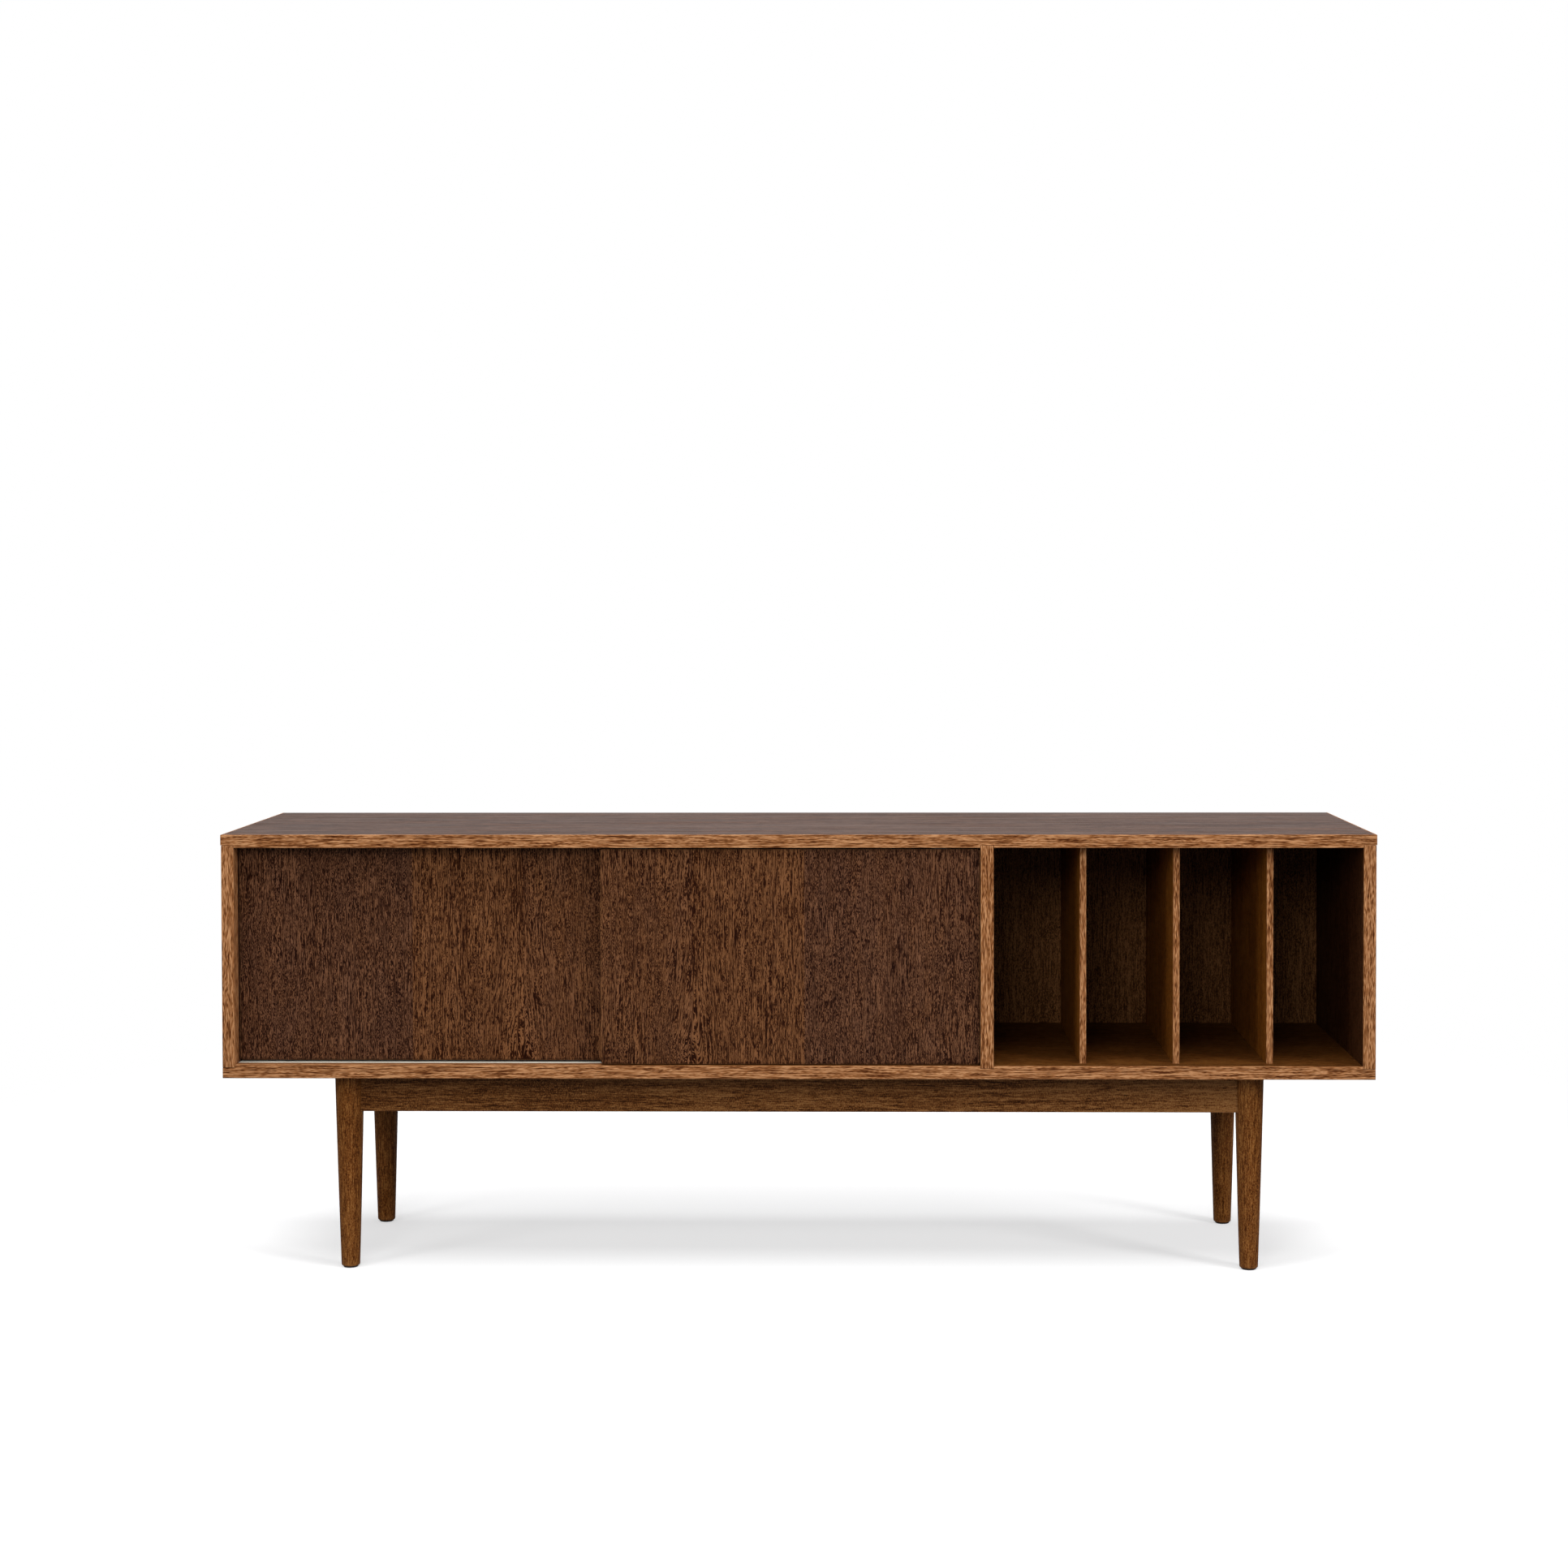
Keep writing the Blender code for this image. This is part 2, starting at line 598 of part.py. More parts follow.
def make_doors():
    """The two doors with the housings, wheels and guides that they carry."""
    wheel_mesh = turned_mesh("door_wheel", wheel_profile(), closed=True)
    doors = (
        ("left_door", INNER_LEFT + DOOR_END_GAP + DOOR_WIDTH / 2, REAR_LANE, REAR_DOOR_FLOOR_GAP),
        ("right_door", PARTITION_LEFT - DOOR_END_GAP - DOOR_WIDTH / 2, FRONT_LANE, FRONT_DOOR_FLOOR_GAP),
    )
    slot_half = WHEEL_RADIUS + WHEEL_SLOT_CLEARANCE
    slot_top = WHEEL_AXIS + slot_half
    housing_half = slot_half + HOUSING_END
    housing_thick = WHEEL_WIDTH / 2 + RUN_CLEARANCE + HOUSING_CHEEK
    tongue_half = WHEEL_WIDTH / 2
    for name, centre_x, lane, floor_gap in doors:
        door_low = FLOOR + floor_gap
        place = (centre_x, lane, (door_low + DOOR_HIGH) / 2)
        door = prism(name, door_outline(door_low), DOOR_THICKNESS, place, (math.pi / 2, 0.0, 0.0), OAK_DARK)
        bevel(door, DOOR_ARRIS)
        for side, sign in SIDES:
            gear_x = centre_x + sign * (DOOR_WIDTH / 2 - GEAR_FROM_DOOR_END)
            ending = "_" + side
            # The housing fills a mortise in the door's lower edge, and reaches below the rear door
            low = (gear_x - housing_half, lane - housing_thick, HOUSING_LOW)
            high = (gear_x + housing_half, lane + housing_thick, slot_top + HOUSING_ROOF)
            mortise_low, mortise_high = grown(low, high, SEAT_GAP)
            mortise_low.z -= PAST
            cut(door, box(name + "_mortise" + ending, mortise_low, mortise_high))
            housing = box(name + "_runner_housing" + ending, low, high, BLACK_PLASTIC)
            slot = box(
                name + "_wheel_slot" + ending,
                (gear_x - slot_half, lane - tongue_half - RUN_CLEARANCE, HOUSING_LOW - PAST),
                (gear_x + slot_half, lane + tongue_half + RUN_CLEARANCE, slot_top),
            )
            axle = cylinder(
                name + "_axle" + ending,
                (gear_x, lane, WHEEL_AXIS),
                AXLE_RADIUS,
                WHEEL_WIDTH + 2 * RUN_CLEARANCE + HOUSING_CHEEK,
                "Y",
                12,
            )
            cut(housing, slot)
            join(housing, axle)
            wheel = turned(
                name + "_wheel" + ending,
                wheel_mesh,
                (gear_x, lane, WHEEL_AXIS),
                NYLON,
                20,
                (math.pi / 2, 0.0, 0.0),
            )
            # The guide's body fills a mortise in the door's upper edge, and its tongue runs in the top track
            body_half = tongue_half + GUIDE_SHOULDER
            body_low = (gear_x - GUIDE_LENGTH / 2, lane - body_half, DOOR_HIGH - GUIDE_BODY_HEIGHT)
            body_high = (gear_x + GUIDE_LENGTH / 2, lane + body_half, DOOR_HIGH)
            mortise_low, mortise_high = grown(body_low, body_high, SEAT_GAP)
            mortise_high.z += PAST
            cut(door, box(name + "_guide_mortise" + ending, mortise_low, mortise_high))
            guide = box(name + "_top_guide" + ending, body_low, body_high, NYLON)
            tongue = box(
                name + "_guide_tongue" + ending,
                (gear_x - GUIDE_LENGTH / 3, lane - tongue_half, DOOR_HIGH - GUIDE_BODY_HEIGHT / 2),
                (
                    gear_x + GUIDE_LENGTH / 3,
                    lane + tongue_half,
                    CEILING + TOP_LANE_DEPTH - GUIDE_TOP_CLEARANCE,
                ),
            )
            join(guide, tongue)
            carry(door, housing, wheel, guide)


def leg_radius(height):
    """The leg's radius at a height above its foot: a straight taper with a slight swell."""
    share = height / LEG_LENGTH
    taper = LEG_FOOT_DIAMETER + (LEG_TOP_DIAMETER - LEG_FOOT_DIAMETER) * share
    return (taper + 4 * LEG_SWELL * share * (1 - share)) / 2


def leg_profile(larger=0.0):
    """A leg's half outline from top to foot, with its foot at height 0, or the same grown by a clearance."""
    if larger:
        heights = [LEG_LENGTH * (1 - step / 8) for step in range(9)]
        side = [(leg_radius(height) + larger, height) for height in heights]
        top, foot = side[0][0], side[-1][0]
        return [(0.0, LEG_LENGTH + PAST), (top, LEG_LENGTH + PAST)] + side[:-1] + [(foot, 0.0), (0.0, 0.0)]
    top = LEG_LENGTH
    points = [(0.0, top), (leg_radius(top) - LEG_TOP_ARRIS, top)]
    lowest, highest = LEG_FOOT_ROUNDING, top - LEG_TOP_ARRIS
    for step in range(9):
        height = highest + (lowest - highest) * step / 8
        points.append((leg_radius(height), height))
    for step in (1, 2, 3):
        angle = step / 3 * math.pi / 2
        points.append(
            (
                leg_radius(lowest) - LEG_FOOT_ROUNDING * (1 - math.cos(angle)),
                lowest * (1 - math.sin(angle)),
            )
        )
    points.append((0.0, 0.0))
    return points


def make_base(bottom_panel):
    """Four legs with rails tenoned between them, blocks and bolts that hold the case, and glides."""
    rail_low, rail_high = BASE_TOP - RAIL_HEIGHT, BASE_TOP
    tenon_low, tenon_high = rail_low + TENON_SHOULDER, rail_high - TENON_SHOULDER
    half_rail, half_tenon = RAIL_THICKNESS / 2, TENON_THICKNESS / 2
    tenon_root = LEG_TOP_DIAMETER
    leg_mesh = turned_mesh("leg", leg_profile())
    cope_mesh = turned_mesh("leg_cope", leg_profile(SEAT_GAP))
    clearance_mesh = turned_mesh("leg_clearance", leg_profile(BLOCK_LEG_CLEARANCE))
    glide_mesh = turned_mesh("foot_glide", glide_profile())
    bolt_mesh = turned_mesh("base_bolt", bolt_profile())
    rails = {
        "front": box(
            "front_rail",
            (-LEG_X, -LEG_Y - half_rail, rail_low),
            (LEG_X, -LEG_Y + half_rail, rail_high),
            OAK_SOLID,
            RAIL_ARRIS,
        ),
        "rear": box(
            "rear_rail",
            (-LEG_X, LEG_Y - half_rail, rail_low),
            (LEG_X, LEG_Y + half_rail, rail_high),
            OAK_SOLID,
            RAIL_ARRIS,
        ),
        "left": box(
            "left_rail",
            (-LEG_X - half_rail, -LEG_Y, rail_low),
            (-LEG_X + half_rail, LEG_Y, rail_high),
            OAK_SOLID,
            RAIL_ARRIS,
        ),
        "right": box(
            "right_rail",
            (LEG_X - half_rail, -LEG_Y, rail_low),
            (LEG_X + half_rail, LEG_Y, rail_high),
            OAK_SOLID,
            RAIL_ARRIS,
        ),
    }
    for end, sign_y in ENDS:
        for side, sign_x in SIDES:
            corner = end + "_" + side
            axis_x, axis_y = sign_x * LEG_X, sign_y * LEG_Y
            foot = (axis_x, axis_y, LEG_BOTTOM)
            leg = turned(corner + "_leg", leg_mesh, foot, OAK_SOLID, 28)
            cope = turned(corner + "_cope", cope_mesh, foot, None, 28)
            tenons = {
                end: (
                    (TENON_SHORT_OF_AXIS, -half_tenon, tenon_low),
                    (tenon_root, half_tenon, tenon_high),
                ),
                side: (
                    (-half_tenon, TENON_SHORT_OF_AXIS, tenon_low),
                    (half_tenon, tenon_root, tenon_high),
                ),
            }
            for rail_name, (low, high) in tenons.items():
                rail = rails[rail_name]
                cut(rail, cope)
                ends_x = sorted((axis_x - sign_x * low[0], axis_x - sign_x * high[0]))
                ends_y = sorted((axis_y - sign_y * low[1], axis_y - sign_y * high[1]))
                low = (ends_x[0], ends_y[0], low[2])
                high = (ends_x[1], ends_y[1], high[2])
                join(rail, box(corner + "_tenon_" + rail_name, low, high))
                cut(leg, box(corner + "_mortise_" + rail_name, *grown(low, high, SEAT_GAP)))
            make_corner(corner, sign_x, sign_y, clearance_mesh, bolt_mesh, bottom_panel)
            glide = turned(corner + "_foot_glide", glide_mesh, (axis_x, axis_y, 0.0), BLACK_PLASTIC, 20)
            stem_hole = cylinder(
                corner + "_stem_hole",
                (axis_x, axis_y, LEG_BOTTOM),
                GLIDE_STEM_RADIUS + SEAT_GAP,
                2 * (GLIDE_STEM_LENGTH + SEAT_GAP),
                "Z",
                12,
            )
            cut(leg, stem_hole)
            carry(leg, glide)


def make_corner(corner, sign_x, sign_y, clearance_mesh, bolt_mesh, bottom_panel):
    """A block in the corner of two rails, cut round the leg, with the bolt that goes up into the case."""
    corner_x = sign_x * (LEG_X - RAIL_THICKNESS / 2 - SEAT_GAP)
    corner_y = sign_y * (LEG_Y - RAIL_THICKNESS / 2 - SEAT_GAP)
    outline = [
        (0.0, 0.0),
        (BLOCK_LEG, 0.0),
        (BLOCK_LEG, BLOCK_TIP),
        (BLOCK_TIP, BLOCK_LEG),
        (0.0, BLOCK_LEG),
    ]
    outline = [(-sign_x * across, -sign_y * along) for across, along in outline]
    if sign_x * sign_y < 0:
        outline.reverse()
    block_top = BASE_TOP
    place = (corner_x, corner_y, block_top - BLOCK_THICKNESS / 2)
    block = prism(corner + "_corner_block", outline, BLOCK_THICKNESS, place, (0.0, 0.0, 0.0), OAK_SOLID)
    leg_place = (sign_x * LEG_X, sign_y * LEG_Y, LEG_BOTTOM)
    cut(block, turned(corner + "_block_cope", clearance_mesh, leg_place, None, 28))
    bolt_x = corner_x - sign_x * BOLT_FROM_RAILS
    bolt_y = corner_y - sign_y * BOLT_FROM_RAILS
    under = block_top - BLOCK_THICKNESS - SEAT_GAP
    bolt = turned(corner + "_base_bolt", bolt_mesh, (bolt_x, bolt_y, under), STEEL, 16)
    socket = cylinder(
        corner + "_bolt_socket",
        (bolt_x, bolt_y, under - BOLT_HEAD_HEIGHT),
        BOLT_SOCKET_RADIUS,
        2 * BOLT_SOCKET_DEPTH,
        "Z",
        6,
    )
    cut(bolt, socket)
    hole_top = BASE_HEIGHT + BOLT_INTO_CASE + SEAT_GAP
    hole_low = under - PAST
    hole = cylinder(
        corner + "_bolt_hole",
        (bolt_x, bolt_y, (hole_top + hole_low) / 2),
        BOLT_RADIUS + SEAT_GAP,
        hole_top - hole_low,
        "Z",
        12,
    )
    cut(block, hole)
    cut(bottom_panel, hole)


def bolt_profile():
    """A pan-head bolt with its head below: the underside of the head's flange is at height 0."""
    top = BLOCK_THICKNESS + 2 * SEAT_GAP + BOLT_INTO_CASE
    return [
        (0.0, top),
        (BOLT_RADIUS - 0.0008, top),
        (BOLT_RADIUS, top - 0.0008),
        (BOLT_RADIUS, 0.0),
        (BOLT_HEAD_RADIUS, 0.0),
        (BOLT_HEAD_RADIUS, -BOLT_HEAD_HEIGHT / 2),
        (BOLT_HEAD_RADIUS * 0.8, -BOLT_HEAD_HEIGHT),
        (0.0, -BOLT_HEAD_HEIGHT),
    ]


def glide_profile():
    """A nail-in glide: a disc on the floor with a stem that goes up into the leg."""
    return [
        (0.0, GLIDE_THICKNESS + GLIDE_STEM_LENGTH),
        (GLIDE_STEM_RADIUS, GLIDE_THICKNESS + GLIDE_STEM_LENGTH),
        (GLIDE_STEM_RADIUS, GLIDE_THICKNESS),
        (GLIDE_RADIUS, GLIDE_THICKNESS),
        (GLIDE_RADIUS, GLIDE_ROUNDING),
        (GLIDE_RADIUS - GLIDE_ROUNDING, 0.0),
        (0.0, 0.0),
    ]


case_bottom = make_case()
make_shelves()
make_doors()
make_base(case_bottom)
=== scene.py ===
# %% [markdown]
# # A television sideboard in smoked oak
#
# The object is a long low cabinet: a veneered case on a turned base, two sliding
# doors on the left and four open bays on the right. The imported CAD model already
# holds every solid piece at its real size and in its real place, so this lesson is
# about looks. It sets up a camera and a small studio, builds an oak that can be
# stained light or dark, dresses each piece with it, and then models the few things
# that are too round or too small for the CAD: the turned legs and the screws.

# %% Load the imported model
import math
from functools import reduce
from operator import mul

import bmesh
import bpy
from mathutils import Matrix, Vector


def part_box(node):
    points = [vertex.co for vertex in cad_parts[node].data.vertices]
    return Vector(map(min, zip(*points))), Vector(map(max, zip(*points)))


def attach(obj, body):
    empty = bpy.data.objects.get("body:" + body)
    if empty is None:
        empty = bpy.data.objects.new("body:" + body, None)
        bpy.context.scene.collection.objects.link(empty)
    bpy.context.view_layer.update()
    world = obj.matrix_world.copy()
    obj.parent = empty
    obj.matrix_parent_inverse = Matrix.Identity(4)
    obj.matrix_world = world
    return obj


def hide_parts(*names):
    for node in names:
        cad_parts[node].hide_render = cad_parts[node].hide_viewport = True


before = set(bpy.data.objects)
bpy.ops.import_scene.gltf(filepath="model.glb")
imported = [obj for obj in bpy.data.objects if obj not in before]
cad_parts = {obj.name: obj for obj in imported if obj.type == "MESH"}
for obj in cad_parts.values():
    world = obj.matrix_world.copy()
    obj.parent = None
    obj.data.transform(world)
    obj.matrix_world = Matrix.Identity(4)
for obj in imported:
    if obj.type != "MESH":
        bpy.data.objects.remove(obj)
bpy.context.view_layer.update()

# %% [markdown]
# ## The camera
#
# The photograph was taken from a little above the top, almost square on, with a
# long lens, and its upright lines stay upright. A lens that is shifted down does
# that: the camera looks nearly level, and the shift brings the sideboard into the
# frame. The numbers come from matching the corners of the case to the picture: the
# focal length and the centre of the lens in pixels, and the camera's place.

# %% Place the camera
PICTURE = 1932
SENSOR = 36.0
FOCAL_PIXELS = 3168.4
LENS_CENTRE = (1013.5, 832.5)
CAMERA_PLACE = Vector((0.1075, -4.0874, 1.0190))
YAW, PITCH, ROLL = 0.01744, 0.02692, -0.00171

camera_data = bpy.data.cameras.new("camera")
camera_data.sensor_width = SENSOR
camera_data.lens = FOCAL_PIXELS / PICTURE * SENSOR
camera_data.shift_x = (PICTURE / 2 - LENS_CENTRE[0]) / PICTURE
camera_data.shift_y = (LENS_CENTRE[1] - PICTURE / 2) / PICTURE
camera = bpy.data.objects.new("camera", camera_data)
camera.matrix_world = (
    Matrix.Translation(CAMERA_PLACE)
    @ Matrix.Rotation(YAW, 4, "Z")
    @ Matrix.Rotation(math.pi / 2 - PITCH, 4, "X")
    @ Matrix.Rotation(ROLL, 4, "Z")
)
bpy.context.scene.collection.objects.link(camera)
bpy.context.scene.camera = camera
print(f"lens {camera_data.lens:.1f} mm, shifted {camera_data.shift_y:+.3f} of the frame")

# %% [markdown]
# ## Writing materials as formulas
#
# A finish is a network of nodes. Adding the nodes one call at a time hides what
# they work out, so one small class wraps an output socket: sums on it add Math
# nodes, and `node` adds anything else, with its settings first, because they decide
# which sockets the node has. A mask then reads as the formula that it is.


# %% A wire that does arithmetic
class Wire:
    """An output socket in a node tree, or with no socket the bare tree to start from."""

    def __init__(self, tree, socket=None):
        self.tree = tree
        self.socket = socket

    def node(self, kind, settings=None, sockets=None, output=None):
        """Adds a node: settings, then each socket's value or wire. Gives one output as a Wire."""
        made = self.tree.nodes.new(kind)
        for name, value in (settings or {}).items():
            if name == "stops":
                self.set_stops(made.color_ramp, value)
            else:
                setattr(made, name, value)
        for name, value in (sockets or {}).items():
            into = made.inputs[name] if isinstance(name, int) else self.named(made.inputs, name)
            if isinstance(value, Wire):
                self.tree.links.new(value.socket, into)
            else:
                into.default_value = value
        if not made.outputs:
            return self
        chosen = self.named(made.outputs, output) if output else [s for s in made.outputs if s.enabled][0]
        return Wire(self.tree, chosen)

    @staticmethod
    def named(sockets, name):
        """The socket of that name that the node's settings have switched on."""
        return next(socket for socket in sockets if socket.name == name and socket.enabled)

    @staticmethod
    def set_stops(ramp, stops):
        """Gives a colour ramp its stops, each a place from 0 to 1 and a colour."""
        while len(ramp.elements) > 1:
            ramp.elements.remove(ramp.elements[-1])
        ramp.elements[0].position, ramp.elements[0].color = stops[0]
        for place, colour in stops[1:]:
            ramp.elements.new(place).color = colour

    def maths(self, operation, first, second=0.0):
        return self.node("ShaderNodeMath", {"operation": operation}, {0: first, 1: second})

    def __add__(self, other):
        return self.maths("ADD", self, other)

    __radd__ = __add__

    def __sub__(self, other):
        return self.maths("SUBTRACT", self, other)

    def __rsub__(self, other):
        return self.maths("SUBTRACT", other, self)

    def __mul__(self, other):
        return self.maths("MULTIPLY", self, other)

    __rmul__ = __mul__

    def __gt__(self, other):
        return self.maths("GREATER_THAN", self, other)

    def __lt__(self, other):
        return self.maths("LESS_THAN", self, other)

    def __abs__(self):
        return self.maths("ABSOLUTE", self)


print("a wire adds, subtracts, multiplies and compares")

# %% [markdown]
# A few helpers are used by every finish. `eased` turns a value into a soft mask.
# `vector_maths` works on places and colours, which must stay vectors. `stretch`,
# `moved` and `noise` read a pattern in a space that has been stretched or moved: wood
# is noise pulled out along the grain, so one number says how fine it is across and
# one along. Colours are written as they look on a screen, from 0 to 255, and turned
# into the light that Blender counts with.


# %% Helpers for masks, places and colours
def eased(value, start, end):
    """0 where value is at start, 1 where it is at end, and smooth between them."""
    return value.node(
        "ShaderNodeMapRange",
        {"interpolation_type": "SMOOTHSTEP"},
        {"Value": value, "From Min": start, "From Max": end},
    )


def vector_maths(first, operation, second):
    return first.node("ShaderNodeVectorMath", {"operation": operation}, {0: first, 1: second})


def stretch(place, across, along):
    """Places scaled so that a pattern has that many cells a metre across and along the grain."""
    return vector_maths(place, "MULTIPLY", (across, across, along))


def moved(place, start, turn=(0.0, 0.0, 0.0)):
    """Places turned and then moved, so that each piece reads its own part of a pattern."""
    sockets = {"Vector": place, "Location": start, "Rotation": turn}
    return place.node("ShaderNodeMapping", {"vector_type": "POINT"}, sockets)


def noise(place, across, along, detail=1.0, roughness=0.5, output="Factor"):
    cells = stretch(place, across, along)
    sockets = {"Vector": cells, "Scale": 1.0, "Detail": detail, "Roughness": roughness}
    names = {"Factor": "Fac", "Colour": "Color"}
    return cells.node("ShaderNodeTexNoise", {"noise_dimensions": "3D"}, sockets, names[output])


def mixed(mask, first, second):
    """Two colours mixed by a mask."""
    settings = {"data_type": "RGBA", "clamp_factor": True}
    return mask.node("ShaderNodeMix", settings, {"Factor": mask, "A": first, "B": second})


def seen(red, green, blue):
    """A screen colour as linear light. The screen's curve is a power, and straight for the darkest tones."""
    linear = []
    for value in (red, green, blue):
        linear.append(((value / 255 + 0.055) / 1.055) ** 2.4 if value > 10 else value / 3295)
    return (*linear, 1.0)


def ramp(value, *stops):
    return value.node("ShaderNodeValToRGB", {"stops": stops}, {"Fac": value}, "Color")


def between(value, dark, pale):
    """A colour that runs from dark where value is 0 to pale where it is 1."""
    return ramp(value, (0.0, dark), (1.0, pale))


print("the doors' middle brown in linear light", [round(value, 3) for value in seen(80, 50, 33)])

# %% [markdown]
# ## The studio
#
# The picture was lit softly from the front, and the shadows are faint and wide. A
# weak soft box on the left, a strong one on the right and one above the camera do
# that, and a wide one overhead lifts the top and the floor. Only the one overhead is
# seen in polished surfaces: the others would burn out the top when it is looked at
# from behind. The room gives the rest, and it is dim on purpose. Oiled wood reflects
# a little of what it faces, and in a white room that little would turn dark oak
# grey. Behind the cabinet the room is brighter than at the sides. The top is seen at
# a grazing angle, and takes its sheen from there.

# %% Light the room
ROOM = ((0.0, (90, 90, 92)), (0.25, (104, 104, 106)), (1.0, (200, 200, 203)))
BACKDROP = (132, 132, 133)
BACKDROP_START, BACKDROP_FULL = 0.55, 0.88
WHITE = (1.0, 1.0, 1.0, 1.0)

scene = bpy.context.scene
scene.view_settings.view_transform = "Standard"
scene.view_settings.look = "None"
scene.view_settings.exposure = 0.0
scene.view_settings.gamma = 1.0

world = bpy.data.worlds.new("studio")
scene.world = world
world.use_nodes = True
world.node_tree.nodes.clear()
room = Wire(world.node_tree)
towards = room.node("ShaderNodeTexCoord", output="Generated")
height = room.node("ShaderNodeSeparateXYZ", None, {0: towards}, "Z")
behind = room.node("ShaderNodeSeparateXYZ", None, {0: towards}, "Y")
dim = ramp(height, *[(share, seen(*grey)) for share, grey in ROOM])
dim = mixed(eased(behind, BACKDROP_START, BACKDROP_FULL), dim, seen(*BACKDROP))
to_camera = room.node("ShaderNodeLightPath", output="Is Camera Ray")
sky = room.node("ShaderNodeBackground", None, {"Color": mixed(to_camera, dim, WHITE)})
room.node("ShaderNodeOutputWorld", None, {"Surface": sky})


def soft_box(name, place, target, size, watts, mirrored=False):
    """A large lamp that faces a point. Only a mirrored one is seen in polished surfaces."""
    lamp = bpy.data.lights.new(name, "AREA")
    lamp.shape = "RECTANGLE"
    lamp.size, lamp.size_y = size
    lamp.energy = watts
    lamp_object = bpy.data.objects.new(name, lamp)
    lamp_object.visible_glossy = mirrored
    lamp_object.location = place
    lamp_object.rotation_euler = (Vector(target) - Vector(place)).to_track_quat("-Z", "Y").to_euler()
    scene.collection.objects.link(lamp_object)
    print(name, "at", place, watts, "W")


soft_box("left_soft_box", (-3.3, -2.9, 2.3), (-0.1, 0.0, 0.35), (1.1, 1.1), 34)
soft_box("right_soft_box", (3.9, -2.8, 2.3), (0.1, 0.0, 0.35), (1.1, 1.1), 94)
soft_box("front_soft_box", (-0.7, -4.6, 2.1), (-0.1, 0.0, 0.4), (2.0, 1.3), 73)
soft_box("top_soft_box", (0.0, -0.5, 3.4), (0.0, 0.0, 0.0), (4.6, 3.0), 160, mirrored=True)

# %% [markdown]
# The floor is plain and pale, and the white behind it has no horizon. A disc with a
# rim that fades out into the white does both, from any side. To the camera it is
# paint with a glow of its own, which is white in the open and still shows the shade
# under the case. To everything else it is a dull grey, so that it doesn't light the
# dark wood from below.

# %% Lay the floor
FLOOR_RADIUS = 4.2
FLOOR_PAINT = (0.60, 0.60, 0.60, 1.0)
FLOOR_GLOW = 0.485
FLOOR_BOUNCE = (0.30, 0.30, 0.30, 1.0)
FADE_SHAPE = (1.6, 1.0, 0.0)
FADE_START, FADE_END = 1.1, 3.0


def plain_material(name):
    """An empty node material and the bare tree to build it in."""
    material = bpy.data.materials.new(name)
    material.use_nodes = True
    material.node_tree.nodes.clear()
    return material, Wire(material.node_tree)


def finished(bench, surface):
    """Joins a shader to the material's output."""
    bench.node("ShaderNodeOutputMaterial", None, {"Surface": surface})


floor_mesh = bmesh.new()
bmesh.ops.create_circle(floor_mesh, cap_ends=True, cap_tris=False, segments=96, radius=FLOOR_RADIUS)
floor_data = bpy.data.meshes.new("floor")
floor_mesh.to_mesh(floor_data)
floor_mesh.free()
floor = bpy.data.objects.new("floor", floor_data)
scene.collection.objects.link(floor)

floor_paint, bench = plain_material("pale_floor")
from_centre = vector_maths(bench.node("ShaderNodeTexCoord", output="Object"), "MULTIPLY", FADE_SHAPE)
distance = from_centre.node("ShaderNodeVectorMath", {"operation": "LENGTH"}, {0: from_centre}, "Value")
paint = bench.node("ShaderNodeBsdfDiffuse", None, {"Color": FLOOR_PAINT})
glow = bench.node("ShaderNodeEmission", None, {"Color": WHITE, "Strength": FLOOR_GLOW})
bright = bench.node("ShaderNodeAddShader", None, {0: paint, 1: glow})
dull = bench.node("ShaderNodeBsdfDiffuse", None, {"Color": FLOOR_BOUNCE})
to_camera = bench.node("ShaderNodeLightPath", output="Is Camera Ray")
floor_look = bench.node("ShaderNodeMixShader", None, {0: to_camera, 1: dull, 2: bright})
gone = bench.node("ShaderNodeBsdfTransparent")
fade = eased(distance, FADE_START, FADE_END)
finished(bench, bench.node("ShaderNodeMixShader", None, {0: fade, 1: floor_look, 2: gone}))
floor_data.materials.append(floor_paint)
print("floor of", FLOOR_RADIUS, "m radius")

# %% [markdown]
# ## Oak
#
# Oak shows short dark pores in bands, paler wood between them, and wide slow
# changes of tone where one growth ring gives way to the next. Stained dark, the
# pores take more stain than the wood round them, so the contrast stays. All of it is
# noise in the wood's own space: the grain runs along local Z, a slow noise bends
# it, and each layer is the same noise at its own fineness. Noise is built on a grid
# of cells, and stretched cells would line up in rows, so each thin column of wood is
# also slid along the grain by a different amount.
#
# The doors are book-matched. Two leaves of veneer that lay next to each other in the
# log are opened like a book, so the figure of the left door is the mirror image of
# the right one. Measuring outwards from the line where the doors meet gives both
# doors the same wood, and the mirror comes for nothing. Each door is laid up from
# leaves, listed with where each starts and how warm it is: a warm one, a slightly
# warmer one beyond a dark joint, and cool dark ones from 0.30 m. Low down by the dark
# joint the grain opens like a fan, so places are drawn together towards the joint
# there, more and more downwards. Half way up, by the meeting line, the wood is
# speckled.

